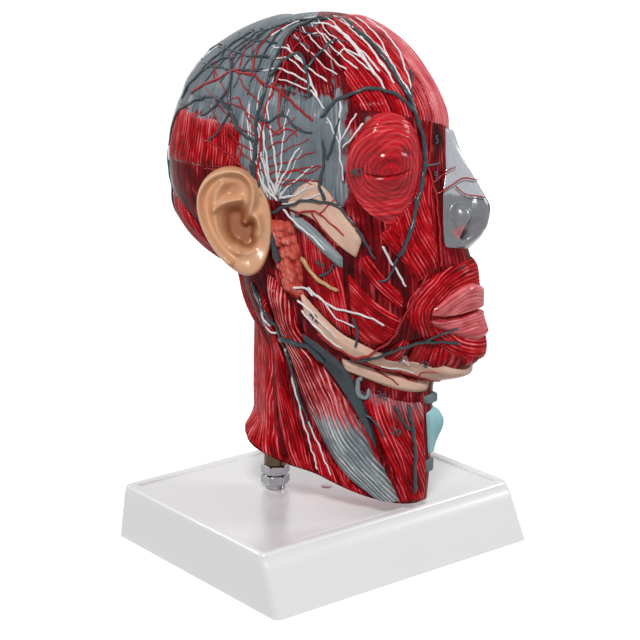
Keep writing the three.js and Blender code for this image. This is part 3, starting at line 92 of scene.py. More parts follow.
def feed(tree, value, socket):
    """Links an output into an input, or sets a number or a colour there."""
    if isinstance(value, tuple):
        socket.default_value = value + (1.0,)
    elif isinstance(value, (int, float)):
        socket.default_value = value
    else:
        tree.links.new(value, socket)


def add_node(tree, kind, inputs=None, **settings):
    """A shader node with its own settings; inputs feed its sockets by name or by number."""
    node = tree.nodes.new(kind)
    for key, value in settings.items():
        setattr(node, key, value)
    for key, value in (inputs or {}).items():
        feed(tree, value, node.inputs[key])
    return node


def maths(tree, operation, *values, clamp=False):
    """The result of one sum of sockets or numbers."""
    sums = add_node(tree, "ShaderNodeMath", dict(enumerate(values)), operation=operation, use_clamp=clamp)
    return sums.outputs[0]


def ray_share(tree):
    """1 for a ray of the camera, a reflection or glass, 0 for the light that falls on things."""
    rays = add_node(tree, "ShaderNodeLightPath").outputs
    seen = maths(tree, "ADD", rays["Is Camera Ray"], rays["Is Glossy Ray"], clamp=True)
    return maths(tree, "ADD", seen, rays["Is Transmission Ray"], clamp=True)


def empty_tree(holder):
    """The cleared node tree of a world or a material."""
    holder.use_nodes = True
    holder.node_tree.nodes.clear()
    return holder.node_tree


world = bpy.data.worlds.new("white_studio")
tree = empty_tree(world)
ambient = add_node(tree, "ShaderNodeBackground", {"Color": WHITE, "Strength": AMBIENT_LEVEL})
surround = add_node(tree, "ShaderNodeBackground", {"Color": WHITE})
mixed = add_node(tree, "ShaderNodeMixShader",
                 {0: ray_share(tree), 1: ambient.outputs[0], 2: surround.outputs[0]})
add_node(tree, "ShaderNodeOutputWorld", {"Surface": mixed.outputs[0]})
bpy.context.scene.world = world

for lamp_name, lamp_place, lamp_size, lamp_power in STUDIO_LAMPS:
    lamp_data = bpy.data.lights.new(lamp_name, "AREA")
    lamp_data.shape = "DISK"
    lamp_data.size = lamp_size
    lamp_data.energy = lamp_power
    lamp = add_object(lamp_name, lamp_data)
    lamp.location = lamp_place
    lamp.rotation_euler = (Vector(lamp_place) - CAMERA_AIM).to_track_quat("Z", "Y").to_euler()

floor_mesh = bpy.data.meshes.new("studio_floor")
corner_signs = ((-1, -1), (1, -1), (1, 1), (-1, 1))
floor_mesh.from_pydata([(x * FLOOR_HALF_SIZE, y * FLOOR_HALF_SIZE, 0.0) for x, y in corner_signs],
                       [], [(0, 1, 2, 3)])
floor_paint = bpy.data.materials.new("pale_floor")
tree = empty_tree(floor_paint)
glow_level = maths(tree, "MULTIPLY", ray_share(tree), FLOOR_GLOW)
glow = add_node(tree, "ShaderNodeEmission", {"Strength": glow_level})
matt = add_node(tree, "ShaderNodeBsdfDiffuse", {"Color": FLOOR_GREY})
both = add_node(tree, "ShaderNodeAddShader", {0: matt.outputs[0], 1: glow.outputs[0]})
add_node(tree, "ShaderNodeOutputMaterial", {"Surface": both.outputs[0]})
floor_mesh.materials.append(floor_paint)
add_object("studio_floor", floor_mesh)


# Display base: a white glossy moulded tray with a sloped front, soft outer edges and a
# shallow recess inside a raised rim. It is open below and closed by a plate.
tray_low, tray_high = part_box("base_tray")
TRAY_DRAFTS = {"left": 2 * MM, "right": 2 * MM, "front": 17 * MM, "rear": 5 * MM}
TRAY_EDGE_ROUND, TRAY_CORNER_ROUND, LEAST_CORNER_ROUND = 3 * MM, 5 * MM, 0.6 * MM
TRAY_RIM, TRAY_RECESS, TRAY_WALL, LIP_ROUND = 4.5 * MM, 1.2 * MM, 3 * MM, 0.5 * MM
CORNER_POINTS, ROUND_POINTS, LIP_POINTS, SIDE_POINTS = 10, 8, 5, 8
VARNISH_ROUGHNESS, TRAY_VARNISH_IOR = 0.2, 1.6
BASE_WHITE = (0.8, 0.8, 0.81)


def grid_quads(rows, columns, wrap_rows=False, wrap_columns=False):
    """Corner numbers of the quads of a grid that is numbered row by row."""
    i = np.arange(rows if wrap_rows else rows - 1)[:, None]
    j = np.arange(columns if wrap_columns else columns - 1)[None, :]
    here, below, right = i * columns, (i + 1) % rows * columns, (j + 1) % columns
    return np.stack([here + j, below + j, below + right, here + right], -1).reshape(-1, 4)


def outward(points, quads):
    """The same quads, all turned over if the volume that they close is negative."""
    a, b, c, d = (points[quads[:, k]] for k in range(4))
    volume = (np.cross(a, b) * c).sum() + (np.cross(a, c) * d).sum()
    return quads if volume > 0 else quads[:, ::-1]


def end_caps(rows, columns):
    """Corner numbers of the first and the last ring of a grid, as two faces."""
    return list(range(columns)), list(range((rows - 1) * columns, rows * columns))


def make_piece(name, points, quads, material, body, nodes=(), caps=(), uv=None, marks=None,
               sharp=None, weld=False):
    """A mesh object from computed points and quads. marks are values at the points that the
    materials read by name, uv is a pair of millimetre lengths at each point."""
    mesh = bpy.data.meshes.new(name)
    points = np.asarray(points, float).reshape(-1, 3)
    faces = outward(points, np.asarray(quads)).tolist() + [list(cap) for cap in caps]
    mesh.from_pydata(points.tolist(), [], faces)
    if uv is not None:
        layer = mesh.uv_layers.new(name="UVMap")
        corner = np.zeros(len(mesh.loops), np.int32)
        mesh.loops.foreach_get("vertex_index", corner)
        layer.data.foreach_set("uv", np.asarray(uv, np.float32).reshape(-1, 2)[corner].ravel())
    for key, values in (marks or {}).items():
        attribute = mesh.attributes.new(key, "FLOAT", "POINT")
        attribute.data.foreach_set("value", np.asarray(values, np.float32).ravel())
    if weld:
        shape = bmesh.new()
        shape.from_mesh(mesh)
        bmesh.ops.remove_doubles(shape, verts=shape.verts, dist=0.001 * MM)
        bmesh.ops.recalc_face_normals(shape, faces=shape.faces)
        shape.to_mesh(mesh)
        shape.free()
    mesh.shade_smooth()
    if sharp is not None:
        mesh.set_sharp_from_angle(angle=math.radians(sharp))
    mesh.materials.append(material)
    piece = add_object(name, mesh)
    if nodes:
        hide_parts(*nodes)
    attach(piece, body)
    return piece


def effect_group(name, inputs, outputs):
    """An empty node group for an effect, with named inputs, each a colour or a number, and
    named outputs."""
    group = bpy.data.node_groups.new(name, "ShaderNodeTree")
    for key, value in inputs.items():
        kind = "NodeSocketColor" if isinstance(value, tuple) else "NodeSocketFloat"
        feed(group, value, group.interface.new_socket(name=key, in_out="INPUT", socket_type=kind))
    for key in outputs:
        kind = "NodeSocketColor" if key == "Colour" else "NodeSocketFloat"
        group.interface.new_socket(name=key, in_out="OUTPUT", socket_type=kind)
    return group, group.nodes.new("NodeGroupInput").outputs, group.nodes.new("NodeGroupOutput")


def mix_colours(tree, share, first, second, way="MIX"):
    """A colour between two; share, first and second are sockets or values."""
    both = add_node(tree, "ShaderNodeMix", {0: share, 6: first, 7: second}, data_type="RGBA", blend_type=way)
    return both.outputs[2]


def coordinates(tree, kind="Object"):
    """The coordinates that a pattern is laid on."""
    return add_node(tree, "ShaderNodeTexCoord").outputs[kind]


def noise(tree, scale, detail=3.0, roughness=0.55, distortion=0.0, vector=None):
    """The value of a noise, with so many waves to the metre unless it has a vector of its own."""
    inputs = {"Scale": scale, "Detail": detail, "Roughness": roughness, "Distortion": distortion,
              "Vector": coordinates(tree) if vector is None else vector}
    return add_node(tree, "ShaderNodeTexNoise", inputs).outputs[0]


def vary(tree, value, size, level, middle=0.5, clamp=False):
    """A level that shifts as a value leaves its middle, so many times as far."""
    shift = maths(tree, "MULTIPLY", maths(tree, "SUBTRACT", value, middle), size)
    return maths(tree, "ADD", shift, level, clamp=clamp)


# Surface wear that all mouldings share: faint cloudiness of the colour, an uneven gloss from
# handling, and the slight ripple that a moulded surface has.
CLOUD_SCALE, SMEAR_SCALE, RIPPLE_SCALE = 22.0, 60.0, 700.0
CLOUD_LIMIT, CLOUD_GAIN, CLOUD_TINT = 0.35, 4.0, (0.62, 0.62, 0.64)
moulding_wear, start, end = effect_group(
    "moulding_wear", {"Colour": BASE_WHITE, "Clouding": 0.03, "Gloss": 0.25, "Handling": 0.08},
    ("Colour", "Roughness", "Height"))
tree = moulding_wear
cloud = maths(tree, "SUBTRACT", noise(tree, CLOUD_SCALE), CLOUD_LIMIT, clamp=True)
cloud = maths(tree, "MULTIPLY", maths(tree, "MULTIPLY", cloud, start["Clouding"]), CLOUD_GAIN, clamp=True)
smear = noise(tree, SMEAR_SCALE, 5.0, 0.65, 0.4)
feed(tree, mix_colours(tree, cloud, start["Colour"], CLOUD_TINT, "MULTIPLY"), end.inputs["Colour"])
feed(tree, vary(tree, smear, start["Handling"], start["Gloss"], clamp=True), end.inputs["Roughness"])
feed(tree, noise(tree, RIPPLE_SCALE, 2.0), end.inputs["Height"])


def start_material(name, coat=0.0, coat_roughness=0.1, metallic=0.0, specular=0.5):
    """A material with a Principled shader; constants are set on the shader's own sockets."""
    material = bpy.data.materials.new(name)
    material.use_nodes = True
    shader = material.node_tree.nodes["Principled BSDF"]
    shader.inputs["Metallic"].default_value = metallic
    shader.inputs["Coat Weight"].default_value = coat
    shader.inputs["Coat Roughness"].default_value = coat_roughness
    shader.inputs["Specular IOR Level"].default_value = specular
    return material, material.node_tree, shader


def finish_paint(tree, shader, colour, roughness, height, depth):
    """Gives the shader its colour, its roughness and a relief of a given depth in metres."""
    relief = add_node(tree, "ShaderNodeBump", {"Strength": 1.0, "Distance": depth, "Height": height})
    for key, value in (("Base Color", colour), ("Roughness", roughness),
                       ("Normal", relief.outputs["Normal"])):
        feed(tree, value, shader.inputs[key])


def plastic(name, colour, gloss, clouding=0.03, ripple_depth=0.02 * MM, coat=0.0):
    """Moulded plastic with the shared wear."""
    material, tree, shader = start_material(name, coat, VARNISH_ROUGHNESS)
    wear = add_node(tree, "ShaderNodeGroup", node_tree=moulding_wear)
    for key, value in (("Colour", colour), ("Clouding", clouding), ("Gloss", gloss)):
        feed(tree, value, wear.inputs[key])
    finish_paint(tree, shader, wear.outputs["Colour"], wear.outputs["Roughness"], wear.outputs["Height"],
                 ripple_depth)
    return material


def quarter(count, radius):
    """How far the points of a quarter round lie along and down from its start."""
    angle = np.linspace(0, math.pi / 2, count)
    return zip(radius * (1 - np.sin(angle)), radius * (1 - np.cos(angle)))


def tray_ring(height, inset, at):
    """Points of a rounded rectangle: the tray's outline at one height drawn in by an inset,
    with a quarter circle at each corner."""
    share = at / tray_high.z
    left = tray_low.x + TRAY_DRAFTS["left"] * share + inset
    right = tray_high.x - TRAY_DRAFTS["right"] * share - inset
    front = tray_low.y + TRAY_DRAFTS["front"] * share + inset
    rear = tray_high.y - TRAY_DRAFTS["rear"] * share - inset
    radius = max(TRAY_CORNER_ROUND - inset, LEAST_CORNER_ROUND)
    ring = []
    for number, (x, y) in enumerate(((right - radius, rear - radius), (left + radius, rear - radius),
                                     (left + radius, front + radius), (right - radius, front + radius))):
        angle = np.linspace(0, math.pi / 2, CORNER_POINTS) + number * math.pi / 2
        ring.append(np.stack([x + radius * np.cos(angle), y + radius * np.sin(angle),
                              np.full(CORNER_POINTS, height)], -1))
    return np.concatenate(ring)


def tray_profile():
    """Heights, insets and draft heights from the middle of the recess over the edge to the
    ceiling inside: straight runs joined by quarter rounds."""
    top = tray_high.z
    recess, rim = top - TRAY_RECESS, TRAY_EDGE_ROUND + TRAY_RIM
    profile = [(recess, rim + MM, top), (recess, rim, top)]
    profile += [(top - down, rim - along, top) for down, along in quarter(LIP_POINTS, LIP_ROUND)]
    profile += [(top - down, along, top) for along, down in quarter(ROUND_POINTS, TRAY_EDGE_ROUND)]
    sides = (top - TRAY_EDGE_ROUND) * np.linspace(0.9, 0, SIDE_POINTS)
    profile += [(height, 0.0, height) for height in sides]
    return profile + [(0.0, TRAY_WALL, 0.0), (recess - TRAY_WALL, TRAY_WALL, recess)]


base_white = plastic("glossy_white_moulding", BASE_WHITE, 0.3, 0.02, 0.003 * MM, coat=1.0)
base_white.node_tree.nodes["Principled BSDF"].inputs["Coat IOR"].default_value = TRAY_VARNISH_IOR
rings = [tray_ring(*level) for level in tray_profile()]
around_tray = 4 * CORNER_POINTS
make_piece("tray_moulding", rings, grid_quads(len(rings), around_tray, wrap_columns=True), base_white, "base",
           ["base_tray"], end_caps(len(rings), around_tray), sharp=50, weld=True)


# Cover plate: a flat white sheet of moulded plastic that closes the tray from below, held
# under the four posts inside. It keeps the model's shape and gets a finish.
def finish_node(node, material):
    """Gives a carried-over node its material."""
    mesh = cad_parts[node].data
    mesh.materials.clear()
    mesh.materials.append(material)


finish_node("base_cover_plate", plastic("cover_plate_white", (0.72, 0.72, 0.71), 0.45, 0.05, 0.03 * MM))


# Plug: a small round white button with a softly domed head, turned from plastic and pressed
# into a hole of the tray.
PLUG_EDGE_ROUND, PLUG_DOME, PLUG_HEAD_THICKNESS = 0.35 * MM, 0.25 * MM, 0.8 * MM
PLUG_SHANK_SHARE, DOME_SHARES = 0.66, (0.7, 0.4, 0.0)
TURN_POINTS = 48


def upright_node(node):
    """Axis, radius, foot and top of a round node that stands upright."""
    low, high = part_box(node)
    return ((low.x + high.x) / 2, (low.y + high.y) / 2), (high.x - low.x) / 2, low.z, high.z


def turned(radius, height, axis, count=TURN_POINTS):
    """Points of a profile turned round a vertical axis; its radius may change with the turn."""
    angle = np.linspace(0, 2 * math.pi, count, endpoint=False)
    return np.stack(np.broadcast_arrays(axis[0] + radius * np.cos(angle), axis[1] + radius * np.sin(angle),
                                        height), -1)


def turned_piece(name, profile, axis, material, body, nodes):
    """A piece turned on a lathe; its profile starts and ends on the axis or closes on itself."""
    radius, height = np.array(profile).T[..., None]
    quads = grid_quads(len(profile), TURN_POINTS, wrap_rows=profile[0][0] > 0, wrap_columns=True)
    return make_piece(name, turned(radius, height, axis), quads, material, body, nodes, sharp=35,
                      weld=True)


plug_axis, plug_radius, plug_foot, plug_top = upright_node("hole_plug")
shank, shoulder = plug_radius * PLUG_SHANK_SHARE, plug_top - PLUG_HEAD_THICKNESS
plug_profile = [(0.0, plug_foot), (shank, plug_foot), (shank, shoulder), (plug_radius, shoulder)]
plug_profile += [(plug_radius - along, plug_top - PLUG_DOME - down)
                 for down, along in quarter(5, PLUG_EDGE_ROUND)]
plug_profile += [(plug_radius * share, plug_top - PLUG_DOME * share ** 2) for share in DOME_SHARES]
turned_piece("round_plug", plug_profile, plug_axis, plastic("plug_white", (0.93, 0.93, 0.93), 0.25, 0.02),
             "base", ["hole_plug"])


# Stud: a steel rod with a rolled thread over its length, chamfered at both ends. It rises
# from the base into the neck and is clamped by the nuts.
STUD_CENTRE, STUD_RADIUS, STUD_FOOT, STUD_TOP = upright_node("support_stud")
THREAD_PITCH, THREAD_DEPTH, THREAD_STEPS = 1.5 * MM, 0.45 * MM, 10
STUD_CHAMFER, CHAMFER_SLOPE = 1.0 * MM, 0.8
SCRATCH_SCALE, GRIME_SCALE, GRIME_SHADE = 1800.0, 240.0, 0.55


def darkened(colour, share):
    """A share of a colour."""
    return tuple(value * share for value in colour)


def metal(name, colour, gloss, scratch=0.12):
    """Plated or turned metal: fine scratches in the gloss and a little grime in the colour."""
    material, tree, shader = start_material(name, metallic=1.0)
    fine = noise(tree, SCRATCH_SCALE, 4.0, 0.7, 0.6)
    grime = maths(tree, "SUBTRACT", noise(tree, GRIME_SCALE, 4.0), 0.5, clamp=True)
    tone = mix_colours(tree, maths(tree, "MULTIPLY", grime, 2.0, clamp=True), colour,
                       darkened(colour, GRIME_SHADE))
    finish_paint(tree, shader, tone, vary(tree, fine, scratch, gloss, clamp=True), fine, 0.01 * MM)
    return material


def threaded_rod():
    """Radius falls and rises once a pitch along a helix: core plus a triangle wave of the
    height less the turn, smoothed at its crests."""
    length = STUD_TOP - STUD_FOOT
    height = np.linspace(STUD_FOOT, STUD_TOP, int(length / THREAD_PITCH * THREAD_STEPS))[:, None]
    angle = np.linspace(0, 2 * math.pi, TURN_POINTS, endpoint=False)[None, :]
    phase = (height - STUD_FOOT) / THREAD_PITCH - angle / (2 * math.pi)
    wave = np.abs(2 * (phase - np.floor(phase)) - 1)
    depth = THREAD_DEPTH * np.clip(1.15 * (1 - wave) - 0.08, 0, 1)
    end = np.minimum(height - STUD_FOOT, STUD_TOP - height)
    chamfer = np.clip(STUD_CHAMFER - end, 0, None) * CHAMFER_SLOPE
    return turned(STUD_RADIUS - np.maximum(depth, chamfer), height, STUD_CENTRE)


rod = threaded_rod()
make_piece("threaded_stud", rod, grid_quads(len(rod), TURN_POINTS, wrap_columns=True),
           metal("threaded_steel", (0.56, 0.57, 0.59), 0.3), "base", ["support_stud"],
           end_caps(len(rod), TURN_POINTS), weld=True)


# Nuts, spacer, washer and bush: bright plated steel and turned brass, the brass darkened so far
# that the bush is a painted shade for the gap under the neck. Each nut is a hexagon
# whose corners are cut by a cone on both faces, with a countersunk bore.
NUT_POINTS, NUT_LEVELS = 96, 17
BORE_PLAY, COUNTERSINK, RING_EDGE = 0.05 * MM, 0.7 * MM, 0.25 * MM
CONE_START_SHARE, CONE_SLOPE, FACE_SHARE = 0.95, 1.9, 0.93
bore = STUD_RADIUS + BORE_PLAY
nut_plate = metal("bright_plating", (0.4, 0.4, 0.42), 0.1, 0.08)


def nut_points(node):
    """Rings from the bore over the upper face and the sides to the lower face and the bore.
    The side's radius is the hexagon's, flat over cosine, held in by the cone near each face."""
    _, flat, foot, top = upright_node(node)
    angle = np.linspace(0, 2 * math.pi, NUT_POINTS, endpoint=False)
    hexagon = flat / np.cos((angle + math.pi / 6) % (math.pi / 3) - math.pi / 6)
    face = [(0.0, bore + COUNTERSINK), (0.0, flat * FACE_SHARE)]
    rings = [(0.5, bore), (0.1, bore)] + face
    for level in np.linspace(0, 1, NUT_LEVELS):
        near = min(level, 1 - level) * (top - foot)
        rings.append((level, np.minimum(hexagon, flat * CONE_START_SHARE + near * CONE_SLOPE)))
    rings += [(1.0, reach) for _, reach in face[::-1]] + [(0.9, bore)]
    return np.stack([turned(reach, foot + level * (top - foot), STUD_CENTRE, NUT_POINTS)
                     for level, reach in rings])


for node, body in (("lower_nut", "base"), ("lock_nut", "lock_nut"), ("under_nut", "base")):
    points = nut_points(node)
    quads = grid_quads(len(points), NUT_POINTS, wrap_rows=True, wrap_columns=True)
    make_piece("plated_" + node, points, quads, nut_plate, body, [node], sharp=28)

for node in ("stud_spacer", "under_washer"):
    _, outer, foot, top = upright_node(node)
    profile = [(bore, foot + RING_EDGE), (bore + RING_EDGE, foot), (outer - RING_EDGE, foot),
               (outer, foot + RING_EDGE), (outer, top - RING_EDGE), (outer - RING_EDGE, top),
               (bore + RING_EDGE, top), (bore, top - RING_EDGE)]
    turned_piece("plated_" + node, profile, STUD_CENTRE, nut_plate, "base", [node])
# Painted shade: the bush's brass is near black-brown, standing in for the shade between the nut and the neck.
finish_node("neck_bush", metal("shaded_dark_brass", (0.12, 0.085, 0.055), 0.3))


# Head: one hollow hand-painted moulding of the right half of a head and neck. Its form is a
# smooth blend of rounded masses, and every muscle, bone, vessel and nerve is laid on it.
HEAD_HALF_WIDTH, HEAD_LENGTH, HEAD_RISE, NECK_TIP_HEIGHT = 74 * MM, 190 * MM, 314 * MM, 39.2 * MM
MEDIAN_FROM_STUD, HEAD_YAW, SHELL_WALL = 26.5 * MM, math.radians(22), 4 * MM
# Middle, half sizes, lean in degrees, squareness, width of the blend and top, as shares of the
# head's half width, length and rise.
HEAD_MASSES = (
    ((0, -0.089, 0.732), (1, 0.5, 0.2675), -14, 2.2, 0, None),
    ((0, 0.137, 0.672), (0.81, 0.242, 0.159), 0, 2, 0.116, None),
    ((0.216, -0.432, 0.787), (0.568, 0.126, 0.083), 0, 2, 0.084, None),
    ((0.162, -0.389, 0.583), (0.649, 0.242, 0.197), -8, 2.1, 0.095, None),
    ((0.595, -0.4, 0.589), (0.257, 0.137, 0.064), 0, 2, 0.074, None),
    ((0.351, -0.379, 0.443), (0.459, 0.253, 0.127), -14, 2.2, 0.084, None),
    ((0.622, -0.189, 0.481), (0.203, 0.126, 0.134), -8, 2.2, 0.084, None),
    ((0, -0.611, 0.353), (0.324, 0.116, 0.064), -10, 2.1, 0.084, None),
    ((0, -0.568, 0.481), (0.378, 0.126, 0.115), -6, 2, 0.074, None),
    ((0, -0.221, 0.226), (0.622, 0.326, 0.605), 0, 2.2, 0.084, 0.56),
    ((0, -0.158, 0.258), (0.622, 0.147, 0.229), 4, 2, 0.074, None),
    ((0.297, -0.116, 0.156), (0.432, 0.105, 0.223), 4, 2, 0.063, None),
    ((0.39, -0.012, 0.1), (0.37, 0.105, 0.057), 0, 2, 0.053, None),
    ((0.568, -0.095, 0.481), (0.27, 0.137, 0.108), 0, 2, 0.074, None),
)
CAP_STEEPNESS = 0.8
SPINE_LOW, SPINE_HIGH = (-0.2105, 0.07), (-0.0947, 0.697)
SPINE_TOP, CROWN = 60.0, 100.0
NECK_CUT_SLOPE, CHIN_SLOPE = 0.36, 0.62
CHIN_STATION, NAPE_STATION = 0.594, 0.457
REACH_SHARE, PROBE_SHARE = 0.98, 0.002
SEARCH_STEPS, HALVINGS = 40, 16
AROUND_STEP, UP_STEP = 1.0, 0.5
HEAD_SIZE = np.array([HEAD_HALF_WIDTH, HEAD_LENGTH, HEAD_RISE])


def smooth_step(value):
    """Rises from 0 to 1 as the value does, level at both ends: three squares less two cubes."""
    t = np.clip(value, 0, 1)
    return t * t * (3 - 2 * t)


def head_distance(points):
    """Rough distance to the head's form, negative inside. A mass is a leaning superellipsoid;
    two masses join by a smooth minimum over the width of their blend."""
    total = None
    for middle, half, lean, square, blend, top in HEAD_MASSES:
        centre = np.array(middle) * HEAD_SIZE + (0, 0, NECK_TIP_HEIGHT)
        sizes = np.array(half) * HEAD_SIZE
        x = np.abs(np.abs(points[..., 0]) - centre[0])
        y, z = points[..., 1] - centre[1], points[..., 2] - centre[2]
        cos, sin = math.cos(math.radians(lean)), math.sin(math.radians(lean))
        along, across = np.abs(y * cos + z * sin), np.abs(z * cos - y * sin)
        if square == 2:
            share = np.sqrt((x / sizes[0]) ** 2 + (along / sizes[1]) ** 2 + (across / sizes[2]) ** 2)
        else:
            share = ((x / sizes[0]) ** square + (along / sizes[1]) ** square
                     + (across / sizes[2]) ** square) ** (1 / square)
        reach = (share - 1) * sizes.min()
        if top is not None:
            reach = np.maximum(reach, (points[..., 2] - NECK_TIP_HEIGHT - top * HEAD_RISE) * CAP_STEEPNESS)
        if total is None:
            total = reach
            continue
        width = blend * HEAD_LENGTH
        h = np.clip(0.5 + 0.5 * (reach - total) / width, 0, 1)
        total = reach * (1 - h) + total * h - width * h * (1 - h)
    return total


def spine_rays(around, up):
    """Starts and directions of the rays that meet the form: the start climbs a spine up to
    SPINE_TOP, then the ray fans up to the crown; in front it slopes down to clear the chin."""
    angle = np.radians(around)
    climb = np.minimum(up / SPINE_TOP, 1)
    lift = np.maximum(up - SPINE_TOP, 0) / (CROWN - SPINE_TOP)
    tilt = lift * math.pi / 2
    rise = SPINE_LOW[1] + (SPINE_HIGH[1] - SPINE_LOW[1]) * climb
    back = SPINE_LOW[0] + (SPINE_HIGH[0] - SPINE_LOW[0]) * climb
    starts = np.stack([0 * climb, back * HEAD_LENGTH, NECK_TIP_HEIGHT + rise * HEAD_RISE], -1)
    front = np.cos(angle)
    growing = NECK_CUT_SLOPE + (CHIN_SLOPE - NECK_CUT_SLOPE) * smooth_step(climb / CHIN_STATION)
    fading = CHIN_SLOPE * (1 - smooth_step((climb - CHIN_STATION) / (1 - CHIN_STATION)))
    rear_slope = NECK_CUT_SLOPE * (1 - smooth_step(climb / NAPE_STATION))
    slope = np.where(front > 0, np.where(climb < CHIN_STATION, growing, fading), rear_slope)
    directions = np.stack([np.sin(angle) * np.cos(tilt), -front * np.cos(tilt),
                           np.where(lift > 0, np.sin(tilt), -front * slope)], -1)
    return starts, directions / np.linalg.norm(directions, axis=-1, keepdims=True)


def find_head_surface():
    """Places and normals on a grid of around and up: the ray's outermost crossing is found by
    steps from outside, then by halving; the normal is the form's slope by differences."""
    around, up = np.meshgrid(np.arange(0, 180 + AROUND_STEP / 2, AROUND_STEP),
                             np.arange(0, CROWN + UP_STEP / 2, UP_STEP), indexing="ij")
    starts, directions = spine_rays(around, up)
    reach = REACH_SHARE * HEAD_LENGTH
    near, found = np.zeros(around.shape), np.zeros(around.shape, bool)
    for step in range(SEARCH_STEPS - 1, -1, -1):
        length = reach * step / SEARCH_STEPS
        inside = (head_distance(starts + directions * length) < 0) & ~found
        near[inside] = length
        found |= inside
    far = near + reach / SEARCH_STEPS
    for _ in range(HALVINGS):
        middle = (near + far) / 2
        inside = head_distance(starts + directions * middle[..., None]) < 0
        near, far = np.where(inside, middle, near), np.where(inside, far, middle)
    places = starts + directions * near[..., None]
    probe = PROBE_SHARE * HEAD_LENGTH
    slopes = [head_distance(places + probe * axis) - head_distance(places - probe * axis)
              for axis in np.eye(3)]
    normals = np.stack(slopes, -1)
    normals[0, :, 0] = normals[-1, :, 0] = normals[:, -1, 0] = 0
    normals /= np.linalg.norm(normals, axis=-1, keepdims=True)
    return np.concatenate([places, normals], -1)


head_surface = find_head_surface()


def between(values, first, second):
    """Values of a grid at places between its points, by cubic weights of the four nearest
    points each way, so that the surface has no creases."""
    rows, columns = values.shape[:2]
    first, second = np.clip(first, 0, rows - 1), np.clip(second, 0, columns - 1)
    i, j = np.minimum(first.astype(int), rows - 2), np.minimum(second.astype(int), columns - 2)

    def weights(t):
        return (((2 - t) * t - 1) * t / 2, ((3 * t - 5) * t * t + 2) / 2,
                ((4 - 3 * t) * t + 1) * t / 2, (t - 1) * t * t / 2)

    total = 0
    for a, weight_a in enumerate(weights(first - i)):
        row = np.clip(i + a - 1, 0, rows - 1)
        for b, weight_b in enumerate(weights(second - j)):
            column = np.clip(j + b - 1, 0, columns - 1)
            total = total + values[row, column] * (weight_a * weight_b)[..., None]
    return total


def head_place(around, up):
    """Place and outward normal of the head's form at each pair of around and up."""
    both = between(head_surface, np.asarray(around, float) / AROUND_STEP, np.asarray(up, float) / UP_STEP)
    normal = both[..., 3:]
    return both[..., :3], normal / np.linalg.norm(normal, axis=-1, keepdims=True)


def to_part(points):
    """Head lengths to the part's frame: the median plane is set off from the stud, and the head
    is turned by its yaw about the stud."""
    x = MEDIAN_FROM_STUD - points[..., 0]
    cos, sin = math.cos(HEAD_YAW), math.sin(HEAD_YAW)
    moved = np.stack([x * cos - points[..., 1] * sin, x * sin + points[..., 1] * cos, points[..., 2]], -1)
    return moved + (STUD_CENTRE[0], STUD_CENTRE[1], 0)


# Paint of the head: brushed strokes along the fibres of each tissue under a clear varnish.
# Deep colour lies between the ridges, the middle one over them and a light one on the crests:
# the light tone on the crests is brushed paint and a painted highlight at once, and the deep
# tone between the ridges is partly a painted shade, over the random tone of the strokes.
FIBRE_SCALE = (0.05, 1.1, 1.0)
STRAND_SCALE, STROKE_SCALE, WASH_SCALE = 1.0, 0.23, 75.0
MIDDLE_LEVEL, LIGHT_POWER, GLOSS_SPREAD = 0.45, 1.35, 0.16


def mark_value(tree, mark):
    """A mark of the piece at each point; 0 where the piece lacks it."""
    return add_node(tree, "ShaderNodeAttribute", attribute_name=mark).outputs["Fac"]


painted_fibres, start, end = effect_group(
    "painted_fibres", {"Deep": (0.1, 0.0, 0.01), "Middle": (0.4, 0.01, 0.02), "Light": (0.8, 0.2, 0.2),
                       "Contrast": 0.8, "Gloss": 0.3}, ("Colour", "Roughness", "Height"))
tree = painted_fibres
stretch = add_node(tree, "ShaderNodeMapping", {"Vector": coordinates(tree, "UV")})
stretch.inputs["Scale"].default_value = FIBRE_SCALE
strand = noise(tree, STRAND_SCALE, 5.0, 0.62, vector=stretch.outputs[0])
stroke = noise(tree, STROKE_SCALE, 3.0, 0.5, vector=stretch.outputs[0])
wash = noise(tree, WASH_SCALE, 3.0, 0.6)
lift = 0.0
# The crest mark lightens the ridges and darkens the grooves between them: painted highlight and painted
# shade.
for value, middle, size in ((mark_value(tree, "crest"), 0.42, 0.7), (strand, 0.5, 1.5), (stroke, 0.5, 1.3),
                            (wash, 0.5, 0.9)):
    lift = vary(tree, value, size, lift, middle)
lift = maths(tree, "ADD", maths(tree, "MULTIPLY", lift, start["Contrast"]), MIDDLE_LEVEL, clamp=True)
low_share = maths(tree, "MULTIPLY", lift, 2.0, clamp=True)
high_share = maths(tree, "MULTIPLY", maths(tree, "SUBTRACT", lift, 0.5, clamp=True), 2.0, clamp=True)
under = mix_colours(tree, low_share, start["Deep"], start["Middle"])
over = mix_colours(tree, maths(tree, "POWER", high_share, LIGHT_POWER), under, start["Light"])
feed(tree, over, end.inputs["Colour"])
feed(tree, vary(tree, stroke, GLOSS_SPREAD, start["Gloss"], clamp=True), end.inputs["Roughness"])
feed(tree, strand, end.inputs["Height"])


def fibre_colours(tree, tones, contrast, gloss):
    """The outputs of the painted fibres in a deep, a middle and a light tone."""
    paint = add_node(tree, "ShaderNodeGroup", node_tree=painted_fibres)
    for key, value in zip(("Deep", "Middle", "Light", "Contrast", "Gloss"), (*tones, contrast, gloss)):
        feed(tree, value, paint.inputs[key])
    return paint.outputs


GREY_TONES = ((0.1, 0.125, 0.145), (0.21, 0.245, 0.272), (0.52, 0.56, 0.58))
PALE_TONES = ((0.5, 0.05, 0.07), (0.77, 0.17, 0.19), (0.92, 0.55, 0.56))


